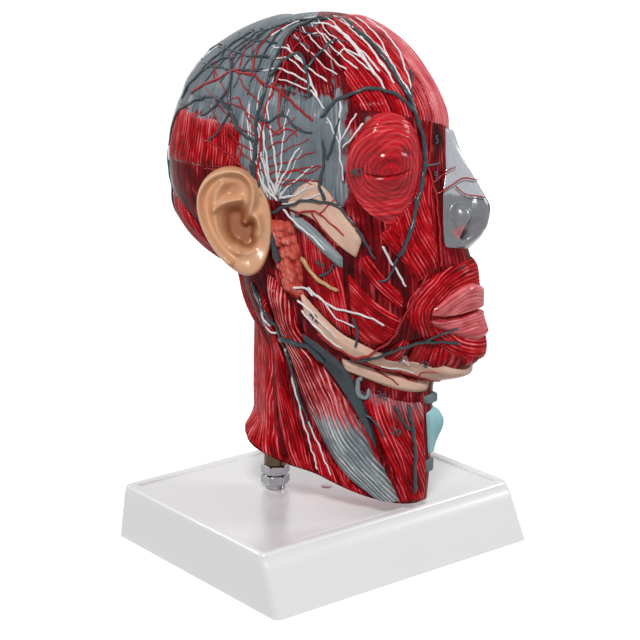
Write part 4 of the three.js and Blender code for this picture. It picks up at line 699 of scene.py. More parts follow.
def fibre_paint(name, tones, contrast=0.8, relief=0.14 * MM, coat=0.085, gloss=0.27, tendon=None):
    """Varnished tissue. With tones for tendon it turns to them, and to light pink, as far as the
    piece's marks tendon and pale say."""
    material, tree, shader = start_material(name, coat, 0.08, specular=0.02)
    base = fibre_colours(tree, tones, contrast, gloss)
    colour = base["Colour"]
    for mark, other in (("pale", PALE_TONES), ("tendon", tendon)) if tendon else ():
        paint = fibre_colours(tree, other, contrast, gloss)
        colour = mix_colours(tree, mark_value(tree, mark), colour, paint["Colour"])
    finish_paint(tree, shader, colour, base["Roughness"], base["Height"], relief)
    return material


muscle_red = fibre_paint("varnished_muscle", ((0.08, 0.0, 0.001), (0.53, 0.001, 0.008), (0.9, 0.25, 0.27)),
                         1.0, tendon=GREY_TONES)
deep_red = fibre_paint("varnished_deep_muscle", ((0.03, 0.0, 0.001), (0.22, 0.0, 0.005), (0.6, 0.06, 0.08)),
                       1.0, tendon=GREY_TONES)
tendon_grey = fibre_paint("varnished_tendon", GREY_TONES, 0.55, 0.05 * MM)
bone_tan = fibre_paint("varnished_bone", ((0.6, 0.36, 0.26), (0.88, 0.6, 0.47), (0.94, 0.78, 0.67)), 0.5,
                       0.06 * MM)


# Head shell: the moulding's own wall, 4 mm thick, open at the median plane and at the cut of
# the neck. Its outside is the dark red ground between the muscles.
GROUND_LIFT, GROUND_RIDGE_SHARE = 1.1 * MM, 0.25 / 0.3
SHELL_GRID = (209, 231)
MM_UP, MM_AROUND = 3.1, 1.25
MEDIAN_EASE, CUT_EASE, CROWN_EASE = 4, 2, 24
# Ridges of the fibres: width and height. Waves of their wandering: length and size.
FIBRE_WIDTHS = ((2.3 * MM, 0.34 * MM), (1.25 * MM, 0.15 * MM))
FIBRE_WAVES = ((47 * MM, 0.6 * MM), (19 * MM, 0.16 * MM))
SWELL_LENGTH = 100 * MM
# Places where the ground is grey sheet and not muscle: from and to in around and in up.
GREY_GROUND = ((80, 100, 57, 100), (148, 181, 55, 100), (49, 92, 57, 76.5), (92, 181, 71, 100),
               (60, 100, 88, 100))


def soft_box(value, low, high, soft):
    """1 between two limits, falling to 0 a soft width outside them."""
    return smooth_step((value - low) / soft + 1) * smooth_step((high - value) / soft + 1)


def patchy(around, up, seed=0.0):
    """A slow uneven pattern between -1 and 1 for ragged borders of the paint."""
    return (np.sin(around * 0.55 + seed) * np.sin(up * 1.3 + 2 * seed)
            + np.sin(around * 1.9 + up * 1.1 + seed) * 0.6 + np.sin(up * 3.7 - around * 1.3) * 0.3) / 1.9


def grey_ground(around, up):
    """The greatest of the soft boxes, their borders ragged by the uneven pattern."""
    shift = patchy(around, up)
    return np.max([soft_box(around + 2.5 * shift, low, high, 1.5)
                   * soft_box(up + 1.1 * shift, bottom, top, 0.6)
                   for low, high, bottom, top in GREY_GROUND], axis=0)


def whole_waves(length, wave):
    """Turn of a wave to the metre, with the whole number of waves nearest to its length."""
    return 2 * math.pi * max(round(length / wave), 1) / length


def fibre_relief(along, across, length, seed):
    """Height of the fibres and how near a crest each point is. Fibres lie side by side across
    the piece, each a narrow ridge: one less the size of a sine, its middle wandering slowly. The
    wandering has whole waves over the length, so that a ring closes on itself."""
    rng = np.random.default_rng(seed)
    wander, height, crest = np.zeros(along.shape), np.zeros(along.shape), np.zeros(along.shape)
    for wave, size in FIBRE_WAVES:
        wander += size * np.sin(whole_waves(length, wave) * along + across / (9 * MM) + rng.uniform(0, 6.28))
    for width, size in FIBRE_WIDTHS:
        turn, swell = rng.uniform(0, 6.28, 2)
        ridge = (1 - np.abs(np.sin(math.pi * (across + wander) / width + turn))) ** 1.4
        slow = np.sin(whole_waves(length, SWELL_LENGTH) * along)
        strength = 0.72 + 0.28 * np.sin(across / (1.9 * MM) + 2.0 * slow + swell)
        height += size * ridge * strength
        crest += ridge * strength * size
    return height, np.clip(crest / (0.7 * sum(size for _, size in FIBRE_WIDTHS)), 0, 1)


def closed_sheet(outer, inner, wrap=False):
    """Points and quads of a body between an outer and an inner grid, closed at its sides."""
    rows, columns = outer.shape[:2]
    count = rows * columns
    top = grid_quads(rows, columns, wrap_rows=wrap)
    quads = [top, top[:, ::-1] + count]
    number = np.arange(count).reshape(rows, columns)
    borders = [number[:, 0], number[:, -1][::-1]]
    if not wrap:
        borders += [number[0][::-1], number[-1]]
    for border in borders:
        line = np.append(border, border[0]) if wrap else border
        quads.append(np.stack([line[:-1], line[:-1] + count, line[1:] + count, line[1:]], -1)[:, ::-1])
    return np.concatenate([outer.reshape(-1, 3), inner.reshape(-1, 3)]), np.concatenate(quads)


def make_sheet(name, outer, inner, lengths, marks, material, slot, nodes, sharp=60, wrap=False, weld=False):
    """A piece of the head between two grids; the outer one's lengths and marks serve both."""
    points, quads = closed_sheet(outer, inner, wrap)
    return make_piece(name, to_part(points), quads, material, "head", nodes,
                      uv=np.tile(lengths.reshape(-1, 2), (2, 1)),
                      marks={key: np.tile(value.ravel(), 2) for key, value in marks.items()}, sharp=sharp,
                      weld=weld)


def shell_sheet():
    """The outer surface on a grid of around and up, and the inner one a wall's width in. At
    the cut of the neck and on the median plane a point moves in within that plane."""
    rows, columns = SHELL_GRID
    around, up = np.meshgrid(np.linspace(0, 180, rows), np.linspace(0, CROWN, columns), indexing="ij")
    places, normals = head_place(around, up)
    cut = np.array([0, -NECK_CUT_SLOPE, 1]) / math.hypot(1, NECK_CUT_SLOPE)
    inward = normals.copy()
    inward[:, 0] -= (inward[:, 0] @ cut)[:, None] * cut
    inward[0, :, 0] = inward[-1, :, 0] = inward[:, -1, 0] = 0
    lengths = np.stack([up * MM_UP, around * MM_AROUND], -1)
    ground, crest = fibre_relief(lengths[..., 0] * MM, lengths[..., 1] * MM, CROWN * MM_UP * MM, 3)
    away = np.clip(np.minimum(np.minimum(around, 180 - around) / MEDIAN_EASE, up / CUT_EASE), 0, 1)
    away = away * np.clip((CROWN - up) / CROWN_EASE, 0, 1)
    outer = places + normals * (away * (GROUND_LIFT + ground * GROUND_RIDGE_SHARE))[..., None]
    inner = places - inward * SHELL_WALL
    for surface in (outer, inner):
        surface[0, :, 0] = surface[-1, :, 0] = surface[:, -1, 0] = 0
    return outer, inner, lengths, {"crest": crest, "tendon": grey_ground(around, up)}


ground_red = fibre_paint("varnished_ground", ((0.015, 0.0, 0.001), (0.2, 0.0, 0.004), (0.72, 0.1, 0.12)), 1.0,
                         tendon=GREY_TONES)
make_sheet("head_shell", *shell_sheet(), ground_red, "ground_red", ["half_head_shell"], sharp=40, weld=True)
finish_node("neck_plate", plastic("neck_plate_red", (0.6, 0.015, 0.1), 0.4, 0.06, 0.05 * MM))


# Muscles, tendons, bones and glands in relief: each a low pad between two edge lines on the
# head, its fibres running along them, its borders sinking into the ground of the moulding.
PAD_SINK, PAD_FLOOR = 0.5 * MM, 1.2 * MM
ACROSS_SPACING, ALONG_SPACING = 0.42 * MM, 1.3 * MM
MOST_ROWS, MOST_COLUMNS, MEDIAN_GRIP = 160, 190, 0.05
# The greatest height over the ground, by cells of half a degree and a quarter of a hundredth.
CELLS_AROUND, CELLS_UP = 360, 400
relief_map = np.full((CELLS_AROUND + 1, CELLS_UP + 1), GROUND_LIFT)


def curve_through(places, shares):
    """Places of a smooth line through given ones, two numbers each: on each stretch a cubic
    whose slopes are half the difference of the neighbours."""
    places = np.reshape(places, (-1, 2)).astype(float)
    ends = np.concatenate([2 * places[:1] - places[1:2], places, 2 * places[-1:] - places[-2:-1]])
    run = np.clip(shares, 0, 1) * (len(places) - 1)
    i = np.minimum(run.astype(int), len(places) - 2)
    t = (run - i)[..., None]
    a, b, c, d = ends[i], ends[i + 1], ends[i + 2], ends[i + 3]
    return b + 0.5 * t * (c - a + t * (2 * a - 5 * b + 4 * c - d + t * (3 * (b - c) + d - a)))


def line_length(line):
    """The sum of the steps between a line's points."""
    return np.linalg.norm(np.diff(line, axis=0), axis=-1).sum()


def fall(distance, width):
    """A rounded shoulder: from 0 at an edge to 1 a width away from it, as a quarter sine."""
    return np.sin(math.pi / 2 * np.clip(distance / width, 0, 1))


def between_lines(first, second, rows, columns, wrap=False):
    """Places of a grid between two lines, each line's own at its rows, and the shares along
    them and across."""
    run, turn = np.meshgrid(np.linspace(0, 1, rows, endpoint=not wrap), np.linspace(0, 1, columns),
                            indexing="ij")
    a, b = curve_through(first, run[:, 0]), curve_through(second, run[:, 0])
    return a[:, None] * (1 - turn[..., None]) + b[:, None] * turn[..., None], a, b, run, turn


def near_cells(around, up, reach):
    """Numbers of the map's cells at places, and of those so many cells round them."""
    i, j = np.rint(around * 2).astype(int), np.rint(up * 4).astype(int)
    return [(np.clip(i + a, 0, CELLS_AROUND), np.clip(j + b, 0, CELLS_UP))
            for a in range(-reach, reach + 1) for b in (-1, 0, 1)]


def lay_pad(name, node, material, slot, thickness, seed, first, second, rounds=(5, 5, 6, 6), fibres=1.0,
            wrap=False, shape=None, marks=None, step=ALONG_SPACING):
    """One pad. rounds are the widths in millimetres of the rounded borders at the first line, the
    second, the start and the end, 0 where the pad is cut; shape adds a height of its own and
    marks gives the paint's marks, both from the grid."""
    edges = [head_place(*curve_through(line, np.linspace(0, 1, 25)).T)[0] for line in (first, second)]
    length = max(line_length(edge) for edge in edges)
    width = np.linalg.norm(edges[0] - edges[1], axis=-1).max()
    rows, columns = np.clip((length / step, width / ACROSS_SPACING), (10, 8),
                            (MOST_ROWS, MOST_COLUMNS)).astype(int)
    spot, a, b, run, turn = between_lines(first, second, rows, columns, wrap)
    around, up = spot[..., 0], spot[..., 1]
    local = np.linalg.norm(head_place(*a.T)[0] - head_place(*b.T)[0], axis=-1)[:, None]
    along, across = run * length, turn * local
    places, normals = head_place(around, up)
    height = np.full(around.shape, thickness * MM)
    for distance, reach in zip((across, local - across, along, length - along), rounds):
        if reach:
            height *= fall(distance, reach * MM)
    ridges, crest = fibre_relief(along, across, length, seed)
    fibres = fibres(run, turn) if callable(fibres) else fibres
    height = height + ridges * fibres * np.clip(height / (0.8 * MM), 0, 1)
    if shape is not None:
        height = height + shape(around, up, run, turn, along, across)
    for cell in near_cells(around, up, 1):
        np.maximum.at(relief_map, cell, height)
    outer = places + normals * (height - PAD_SINK * (1 - np.clip(height / MM, 0, 1)))[..., None]
    inner = places - normals * PAD_FLOOR
    for surface in (outer, inner):
        surface[..., 0] = np.where(around < MEDIAN_GRIP, 0.0, np.maximum(surface[..., 0], 0.0))
    values = {"crest": np.clip(crest * fibres, 0, 1)} | (marks(around, up, run, turn) if marks else {})
    lengths = np.stack([np.abs(along - length / 2) if wrap else along, across], -1) / MM
    make_sheet(name, outer, inner, lengths, values, material, slot, [node] if node else (), wrap=wrap,
               weld=wrap)


def brow_marks(around, up, run, turn):
    """Light pink beside the median line, a little grey near the hairline."""
    return {"pale": smooth_step((20 - around + 1.5 * patchy(around, up)) / 11)
                    + 0.35 * smooth_step((up - 84) / 8) * (0.5 + 0.5 * np.sin(turn * 30))}


def island_marks(around, up, run, turn, pale_from=None):
    """Grey along the ragged border of a red island in the grey sheet, paler from a share on."""
    edge = np.minimum(np.minimum(run, 1 - run) * 1.3, np.minimum(turn, 1 - turn) * 1.3)
    marks = {"tendon": smooth_step((0.1 - edge + 0.06 * patchy(around, up, 2.0)) / 0.03)}
    if pale_from is not None:
        marks["pale"] = smooth_step((run - pale_from) / 0.3) * 0.5
    return marks


def neck_strap_marks(around, up, run, turn):
    """The long neck muscle turns to a grey tendon at its lower third, a ragged border."""
    ragged = 0.03 * np.sin(turn * 40) + 0.02 * np.sin(turn * 91 + 2)
    return {"tendon": smooth_step((run - 0.6 - 0.14 * (turn - 0.5) + ragged) / 0.03),
            "pale": smooth_step((run - 0.46 + 3 * ragged) / 0.15) * 0.5}


# Scalp and brow: flat muscles over the skull and the grey sheet between them. The brow muscle
# is lighter along the median line, the nape one towards its upper border.
lay_pad("brow_muscle", "frontalis", muscle_red, "brow_pink", 2.3, 11,
        (1, 67, 1, 76, 1, 84, 1, 94), (46, 72.5, 48, 80, 50, 86, 56, 94), (2, 8, 12, 14), marks=brow_marks)
lay_pad("temple_muscle", "temporalis", deep_red, "deep_muscle_red", 2.3, 12,
        (50, 74, 50, 80, 52, 86, 58, 92), (87, 78.6, 88, 83, 90, 87, 94, 92),
        (8, 9, 7, 14), marks=island_marks)
lay_pad("temple_sheet", "temporal_fascia", tendon_grey, "tendon_grey", 2.2, 13,
        (50.5, 58, 51, 66, 52, 72.6), (86, 59.5, 88, 66, 89, 77), (9, 8, 8, 8), 0.3)
lay_pad("crown_sheet", "epicranial_aponeurosis", tendon_grey, "tendon_grey", 2.2, 14,
        (96, 72.5, 94, 80, 96, 87, 100, 96), (178, 72, 178, 80, 178, 88, 178, 96),
        (10, 2, 8, 14), 0.25)
lay_pad("nape_scalp_muscle", "occipitalis", muscle_red, "muscle_red", 2.4, 15,
        (98, 61.5, 96, 66, 97, 71.4), (150, 60, 150, 65, 150, 70.8), (8, 9, 9, 6),
        marks=lambda *grid: island_marks(*grid, pale_from=0.75))


# Eye: the ring muscle with the closed lids inside it. The lids bulge over the eyeball and meet
# in a slit; the strokes of paint run round.
EYE_MIDDLE, EYE_CORE, EYE_OUTER = (34, 63.4), (0.02, 0.01), (15.4, 9)
LID_BULGE, LID_BREADTH, SLIT_DEPTH = 6.2 * MM, (8.6, 3.9), 1.3 * MM
FOLD_DEPTH, LASH_HEIGHT = 0.9 * MM, 0.3 * MM
RING_PLACES = 25


def ring(middle, radii, sweep=360, count=RING_PLACES):
    """Places on a ring round a middle, from its top."""
    angle = np.radians(np.linspace(0, sweep, count))
    return np.stack([middle[0] + radii[0] * np.sin(angle), middle[1] + radii[1] * np.cos(angle)], -1)


def closed_eye(around, up, run, turn, along, across):
    """A dome over the eyeball, a bell of both offsets, less a curved slit between the lids and a
    shallow fold above them, with a low ridge of lashes."""
    side = (around - EYE_MIDDLE[0]) / LID_BREADTH[0]
    rise = (up - EYE_MIDDLE[1]) / LID_BREADTH[1]
    slit_line = -0.32 + 0.16 * side ** 2

    def crease(offset, width, breadth, ease):
        return np.exp(-(offset / width) ** 2) * smooth_step((breadth - np.abs(side)) / ease)

    return (LID_BULGE * np.exp(-(side ** 2 + rise ** 2))
            - SLIT_DEPTH * crease(rise - slit_line, 0.085, 1.05, 0.25)
            - FOLD_DEPTH * crease(rise - 0.72 + 0.35 * side ** 2, 0.1, 1.1, 0.3)
            + LASH_HEIGHT * crease(rise - slit_line - 0.2, 0.1, 1.0, 0.3))


def eye_marks(around, up, run, turn):
    """The crests of the ring are lighter away from the slit."""
    wave = 0.5 + 0.5 * np.sin(turn * 60 + 3 * np.sin(run * 19))
    return {"pale": 0.25 * smooth_step((turn - 0.15) / 0.3) * wave}


eye_red = fibre_paint("varnished_eye_ring", ((0.14, 0.0, 0.004), (0.68, 0.002, 0.013), (0.95, 0.27, 0.29)),
                      0.75, coat=0.3, tendon=GREY_TONES)
lay_pad("eye_ring_muscle", "orbicularis_oculi", eye_red, "muscle_red", 3.2, 21, ring(EYE_MIDDLE, EYE_CORE),
        ring(EYE_MIDDLE, EYE_OUTER), (0, 11, 0, 0),
        lambda run, turn: 0.1 + 0.6 * smooth_step((turn - 0.2) / 0.4), True, closed_eye, eye_marks)


# Nose: bone and cartilage under thin grey paint. It stands out most at the tip, a wing bulges
# beside it and the nostril is hollow and pink inside.
NOSE_SPLIT = 0.36
NOSE_WIDE, NOSE_NARROW_SHARE = 18.5 * MM, 0.53
NOSE_RUN, NOSE_PROJECTION, NOSE_ROOT, NOSE_TIP = 52 * MM, 20 * MM, 1.5 * MM, 40.5 * MM
RIDGE_ROUND, RIDGE_POWER, SIDE_HOLLOW = 0.3, 1.25, 0.7
UNDERSIDE, UNDERSIDE_POWER, LOWER_END, LOWER_ROUND = 12 * MM, 0.6, 0.5 * MM, 3 * MM
BLEND = 1.3 * MM
# Balls of the tip and the wing: middle down and out, half sizes, foot height and rise.
NOSE_TIP_BALL = ((41 * MM, 0.0), (8.5 * MM, 8.5 * MM), 9.5 * MM, 11.5 * MM)
NOSE_WING_BALL = ((43 * MM, 11.6 * MM), (6.4 * MM, 6.2 * MM), 2.5 * MM, 10.5 * MM)
NOSTRIL_PLACE, NOSTRIL_HALF, NOSTRIL_DEPTH = (47.2 * MM, 9.2 * MM), (2.5 * MM, 3.8 * MM), 11 * MM
PALE_END, PALE_SLANT, PALE_RAGGED, PALE_SOFT = 36 * MM, 5 * MM, 0.8 * MM, 2 * MM


def ball_height(down, out, middle, half, foot, rise):
    """Height of a ball on a foot: its rise times the root of one less both offsets squared."""
    inside = 1 - ((down - middle[0]) / half[0]) ** 2 - ((out - middle[1]) / half[1]) ** 2
    return np.where(inside > 0, foot, 0) * smooth_step(inside * 6) + rise * np.sqrt(np.clip(inside, 0, 1))


def soft_greatest(first, second):
    """The greater of two heights with a rounded valley between them."""
    return (first + second + np.sqrt((first - second) ** 2 + BLEND ** 2)) / 2


def nose_relief(run, turn, across):
    """Height of a roof with a rounded ridge and slightly hollow sides, whose ridge rises to the
    tip and rounds off under it, joined with the balls of the tip and the wing, less the nostril."""
    down = run * NOSE_RUN
    left = NOSE_RUN + LOWER_END - down
    ridge = NOSE_ROOT + NOSE_PROJECTION * np.clip(down / NOSE_TIP, 0, 1) ** RIDGE_POWER
    side = np.sqrt(turn ** 2 + RIDGE_ROUND ** 2) - RIDGE_ROUND
    side /= math.sqrt(1 + RIDGE_ROUND ** 2) - RIDGE_ROUND
    roof = ridge * np.clip(1 - side, 0, 1) ** (1 + SIDE_HOLLOW * smooth_step(down / NOSE_TIP))
    height = roof * fall(left, UNDERSIDE) ** UNDERSIDE_POWER
    for ball in (NOSE_TIP_BALL, NOSE_WING_BALL):
        height = soft_greatest(height, ball_height(down, across, *ball))
    nostril = np.exp(-(((down - NOSTRIL_PLACE[0]) / NOSTRIL_HALF[0]) ** 2
                       + ((across - NOSTRIL_PLACE[1]) / NOSTRIL_HALF[1]) ** 2) ** 1.5)
    return height * fall(left, LOWER_ROUND) * fall(1.02 - turn, 0.1) - NOSTRIL_DEPTH * nostril, nostril


def lower_nose(around, up, run, turn, along, across):
    """Height of the cartilage part."""
    return nose_relief(NOSE_SPLIT + (1 - NOSE_SPLIT) * run, turn, across)[0]


def lower_nose_marks(around, up, run, turn):
    """Light grey above the tip and the wing, pink inside the nostril."""
    whole = NOSE_SPLIT + (1 - NOSE_SPLIT) * run
    across = turn * NOSE_WIDE * (NOSE_NARROW_SHARE + (1 - NOSE_NARROW_SHARE) * run)
    border = PALE_END - PALE_SLANT * (turn - 0.4) + PALE_RAGGED * patchy(around * 3, up * 3)
    return {"pale": smooth_step((border - whole * NOSE_RUN) / PALE_SOFT),
            "hollow": smooth_step(nose_relief(whole, turn, across)[1] * 2 - 0.5)}


nose_grey, tree, shader = start_material("varnished_cartilage", coat=0.6)
tone = mix_colours(tree, noise(tree, 190.0, 4.0, 0.6), (0.12, 0.13, 0.145), (0.19, 0.2, 0.215))
pale_grey = mix_colours(tree, noise(tree, 520.0, 2.0, 0.6), (0.33, 0.355, 0.39), (0.52, 0.54, 0.58))
tone = mix_colours(tree, mark_value(tree, "pale"), tone, pale_grey)
tone = mix_colours(tree, mark_value(tree, "hollow"), tone, (0.5, 0.12, 0.13))
finish_paint(tree, shader, tone, vary(tree, noise(tree, 420.0), 0.2, 0.28), noise(tree, 900.0), 0.04 * MM)

lay_pad("nose_cartilage", "nasal_cartilage", nose_grey, "nose_grey", 1.2, 31, (0, 61.5, 0, 57, 0, 51.6),
        (7, 61.5, 11.5, 57, 13.5, 52), (0, 3, 0, 3), 0, shape=lower_nose, marks=lower_nose_marks,
        step=0.4 * MM)
lay_pad("nose_bone", "nasal_bone", nose_grey, "nose_grey", 1.2, 32, (0, 67.5, 0, 64.5, 0, 61.5),
        (5, 68, 6, 65, 7, 61.5), (0, 2, 3, 0), 0, step=0.6 * MM,
        shape=lambda around, up, run, turn, along, across: nose_relief(NOSE_SPLIT * run, turn, across)[0],
        marks=lambda around, up, run, turn: {"pale": np.ones(run.shape)})


# Mouth: the half ring of muscle, the pink lips and the muscles that run to them from the cheek
# and the chin, all painted in relief on the moulding.
MOUTH_MIDDLE, LIP_LINE = (0, 46.4), (25, 46.0, 14, 46.1, 6, 46.4, 0, 46.5)
lay_pad("mouth_ring_muscle", "orbicularis_oris", muscle_red, "muscle_red", 3.4, 41,
        ring(MOUTH_MIDDLE, (14, 1.4), 180, 17), ring(MOUTH_MIDDLE, (31, 4.6), 180, 17), (3, 8, 0, 0))
lip_pink = fibre_paint("varnished_lip", ((0.36, 0.025, 0.035), (0.7, 0.13, 0.145), (0.9, 0.5, 0.5)), 1.0,
                       0.1 * MM, 0.5, 0.28)
lay_pad("upper_lip_half", "upper_lip", lip_pink, "lip_pink", 6.4, 42,
        (25, 46.5, 14, 48.4, 6, 49.2, 0, 48.8), LIP_LINE, (5, 2.2, 14, 0), 0.8)
lay_pad("lower_lip_half", "lower_lip", lip_pink, "lip_pink", 6.2, 43,
        LIP_LINE, (24, 45.3, 14, 44.3, 6, 43.9, 0, 44.1), (2.2, 5, 14, 0), 0.8)
FACE_MUSCLES = (
    ("great_cheek_muscle", "zygomaticus_major", 3.4, 44, (47, 50, 40, 47.4, 31, 45.8),
     (43, 51.8, 37, 49.4, 30, 47.8), (5, 5, 6, 12)),
    ("lip_raiser", "levator_labii", 3.4, 45, (35, 55, 32, 51.5, 27, 48.8),
     (19, 61, 18, 56, 17, 50), (6, 4, 8, 12)),
    ("corner_depressor", "depressor_anguli_oris", 3.4, 46, (31, 43.6, 34, 40.4, 38, 38),
     (26.5, 43, 26.5, 40, 26.5, 37.6), (4, 3, 10, 6)),
    ("lip_depressor", "depressor_labii", 3.4, 47, (25.5, 43.4, 25, 40, 25, 37.6),
     (11, 43.4, 12, 40, 13, 37.8), (3, 4, 10, 6)),
    ("small_cheek_muscle", None, 2.6, 50, (40, 53.5, 32, 51, 24, 49),
     (35, 55.5, 28, 53.5, 20, 51), (5, 5, 7, 12)),
    ("nose_side_muscle", None, 2.2, 51, (20, 62, 22, 55, 20, 50.5),
     (14, 62, 15.5, 56, 15.5, 51), (5, 5, 7, 12)),
    ("chin_muscle", None, 3.2, 52, (10, 44, 9, 42.4, 9, 41), (1, 44, 1, 42.6, 1, 41.2), (5, 5, 7, 12)),
)
for name, node, *shape in FACE_MUSCLES:
    lay_pad(name, node, muscle_red, "muscle_red", *shape)


# Cheek and jaw: the cheekbone and the lower jaw in bone colour, the chewing and cheek muscles,
# the lobed salivary gland before the ear.
lay_pad("cheekbone", "zygomatic_bone", bone_tan, "bone_tan", 3.2, 61, (76, 57, 62, 61.4, 52, 57, 44, 53),
        (76, 55.2, 64, 54, 54, 51.6, 46.5, 50.4), (3, 3, 4, 4), 0.15)
lay_pad("lower_jaw", "mandible", bone_tan, "bone_tan", 3.9, 62,
        (76, 42, 66, 40.6, 54, 39.4, 44, 39.6, 34, 39.6, 22, 40.4, 10, 40.8, 0, 40.8),
        (74, 38.4, 66, 35.8, 56, 34.4, 46, 34.8, 36, 35, 24, 35, 12, 35.2, 0, 35.4), (5, 5, 6, 0), 0.2)
lay_pad("chewing_muscle", "masseter", muscle_red, "muscle_red", 3.4, 63, (72, 53.6, 71, 46, 67, 40.2),
        (51, 50.2, 50, 45, 48, 38.8), (6, 9, 6, 7))
sheet_grey = fibre_paint("varnished_light_sheet", ((0.2, 0.24, 0.26), (0.34, 0.39, 0.42), (0.62, 0.66, 0.69)),
                         0.6, 0.06 * MM)
lay_pad("jaw_muscle_sheet", None, sheet_grey, "tendon_grey", 4.6, 67,
        (76, 55.4, 66, 53.6, 58, 51.8, 51, 50.2), (74, 52.3, 66, 50.8, 58, 49.2, 51, 48.2),
        (3, 5, 4, 5), 0.3)
lay_pad("cheek_wall_muscle", "buccinator", muscle_red, "muscle_red", 2.4, 64, (50, 48.6, 42, 46.8, 31, 45.6),
        (49, 39.4, 41, 39.8, 31, 43), (5, 6, 3, 9))
lay_pad("under_jaw_muscle", "digastric", bone_tan, "bone_tan", 3.4, 65,
        (56, 33, 40, 34, 22, 34.2, 6, 34.6), (54, 29.4, 40, 29.6, 22, 30, 6, 30.6), (4, 4, 6, 5), 0.6)
LOBULE_COUNT, LOBULE_REACH, LOBULE_HEIGHT, LOBULE_BORDER = 95, 2.9 * MM, 2.8 * MM, 0.14
GLAND_SIZE = (45 * MM, 22 * MM)


def gland_lobes(run, turn):
    """How high each point lies on its knob: a parabola of the distance to the nearest of many
    scattered places, lower towards the border."""
    spots = np.random.default_rng(17).uniform((0, 0), GLAND_SIZE, (LOBULE_COUNT, 2))
    here = np.stack([run, turn], -1) * GLAND_SIZE
    nearest = np.linalg.norm(here[..., None, :] - spots, axis=-1).min(axis=-1)
    edge = np.clip(np.minimum(np.minimum(run, 1 - run), np.minimum(turn, 1 - turn)) / LOBULE_BORDER, 0, 1)
    return np.clip(1 - (nearest / LOBULE_REACH) ** 2, 0, 1) * (0.3 + 0.7 * edge)


gland_pink = fibre_paint("varnished_gland", ((0.26, 0.012, 0.014), (0.62, 0.09, 0.07), (0.82, 0.33, 0.25)),
                         0.8, 0.15 * MM)
# The lobes also fill the crest mark: the top of each knob gets the light tone as a painted highlight, and the
# gaps between knobs get the deep tone as painted shade.
lay_pad("salivary_gland", "parotid_gland", gland_pink, "gland_pink", 4.0, 66, (91, 52.5, 90, 45, 84, 38.2),
        (75, 53.5, 72, 47, 72.5, 40.4), (7, 7, 6, 8), 0.0, step=0.7 * MM,
        shape=lambda around, up, run, turn, along, across: LOBULE_HEIGHT * gland_lobes(run, turn),
        marks=lambda around, up, run, turn: {"crest": gland_lobes(run, turn)})


# Neck: the long muscle from behind the ear to the collar, the cloak muscle of the nape, the
# straps before the voice box and the pale blue cartilage on the median line.
NECK_TENDON = ((0.1, 0.118, 0.13), (0.22, 0.25, 0.27), (0.66, 0.69, 0.71))
LONG_MUSCLE_CROWN, VOICE_BOX_RISE = 1.6 * MM, 6 * MM
neck_red = fibre_paint("varnished_neck_muscle",
                       ((0.06, 0.0, 0.001), (0.42, 0.001, 0.007), (0.95, 0.42, 0.42)), 1.1,
                       coat=0.15, tendon=NECK_TENDON)
lay_pad("long_neck_muscle", "sternocleidomastoid", neck_red, "muscle_red", 6.0, 71,
        (97, 42, 95, 33, 90, 21, 81.5, 12, 65, 4.2, 42, 0.5),
        (84, 39.6, 77, 32, 65, 26.4, 51, 20.4, 38, 11.6, 24, 0.5), (8, 8, 14, 3), 1.6,
        marks=neck_strap_marks, shape=lambda around, up, run, turn, along, across:
        LONG_MUSCLE_CROWN * (1 - (2 * turn - 1) ** 2) * smooth_step(run / 0.1))
lay_pad("nape_cloak_muscle", "trapezius", muscle_red, "muscle_red", 4.0, 72,
        (178, 0.4, 178, 18, 178, 38, 178, 54), (106, 0.4, 108, 14, 113, 30, 140, 54), (3, 9, 2, 12), 1.3)
lay_pad("front_strap_muscle", "sternohyoid", muscle_red, "muscle_red", 3.4, 73,
        (42, 27.6, 38, 17, 30, 9, 22.5, 0.5), (9.5, 29, 9, 19, 7, 10, 6, 0.5), (5, 3, 14, 2), 1.1,
        marks=lambda around, up, run, turn: {
            "tendon": smooth_step((0.26 - run + 0.05 * patchy(around * 3, up)) / 0.26) * 0.45})
NECK_MUSCLES = (
    ("shoulder_raiser", 3.6, 74, (104, 0.4, 105, 14, 104, 28, 100, 38), (86, 0.4, 93, 12, 97, 22, 97, 30), 2),
    ("side_neck_muscle", 3.0, 75, (85, 0.4, 90, 7, 91, 11), (64, 0.4, 73, 6, 82, 11), 2),
    ("low_neck_muscle", 2.6, 76, (64, 0.4, 68, 2.6, 73, 5), (45, 0.4, 54, 2, 66, 5), 2),
    ("shoulder_strap", 5.0, 77, (44, 25, 36, 13, 30, 7, 25, 0.5), (30, 28, 24, 15, 19, 7, 14, 0.5), 12),
    ("deep_strap", 2.6, 78, (52, 24, 47, 17, 39, 10), (44, 26, 40, 16, 34, 8), 2),
)
for name, thickness, seed, first, second, start_round in NECK_MUSCLES:
    lay_pad(name, None, muscle_red, "muscle_red", thickness, seed, first, second, (4, 4, start_round, 3), 1.1)
cartilage_blue = fibre_paint("pale_blue_cartilage",
                             ((0.2, 0.42, 0.45), (0.34, 0.62, 0.65), (0.55, 0.78, 0.8)), 0.4,
                             0.03 * MM, 0.5, 0.25)
lay_pad("voice_box_plate", "thyroid_cartilage", cartilage_blue, "cartilage_blue", 2.4, 79,
        (0, 26, 0, 19, 0, 12), (8, 25, 7, 19, 5, 12), (0, 2, 2, 2), 0.05,
        shape=lambda around, up, run, turn, along, across:
        VOICE_BOX_RISE * np.sin(math.pi * (1 - run) ** 2) * (1 - turn))
lay_pad("ring_cartilage", None, tendon_grey, "tendon_grey", 2.6, 80, (0, 11, 0, 9, 0, 7),
        (8, 11, 7.5, 9, 6.5, 7), (0, 2, 1.5, 1.5), 0.1)
lay_pad("tongue_bone", None, tendon_grey, "tendon_grey", 3.4, 81, (0, 30, 0, 28.4, 0, 27),
        (10, 29.6, 10, 28.4, 9, 27.2), (0, 2, 1.5, 1.5), 0.1)


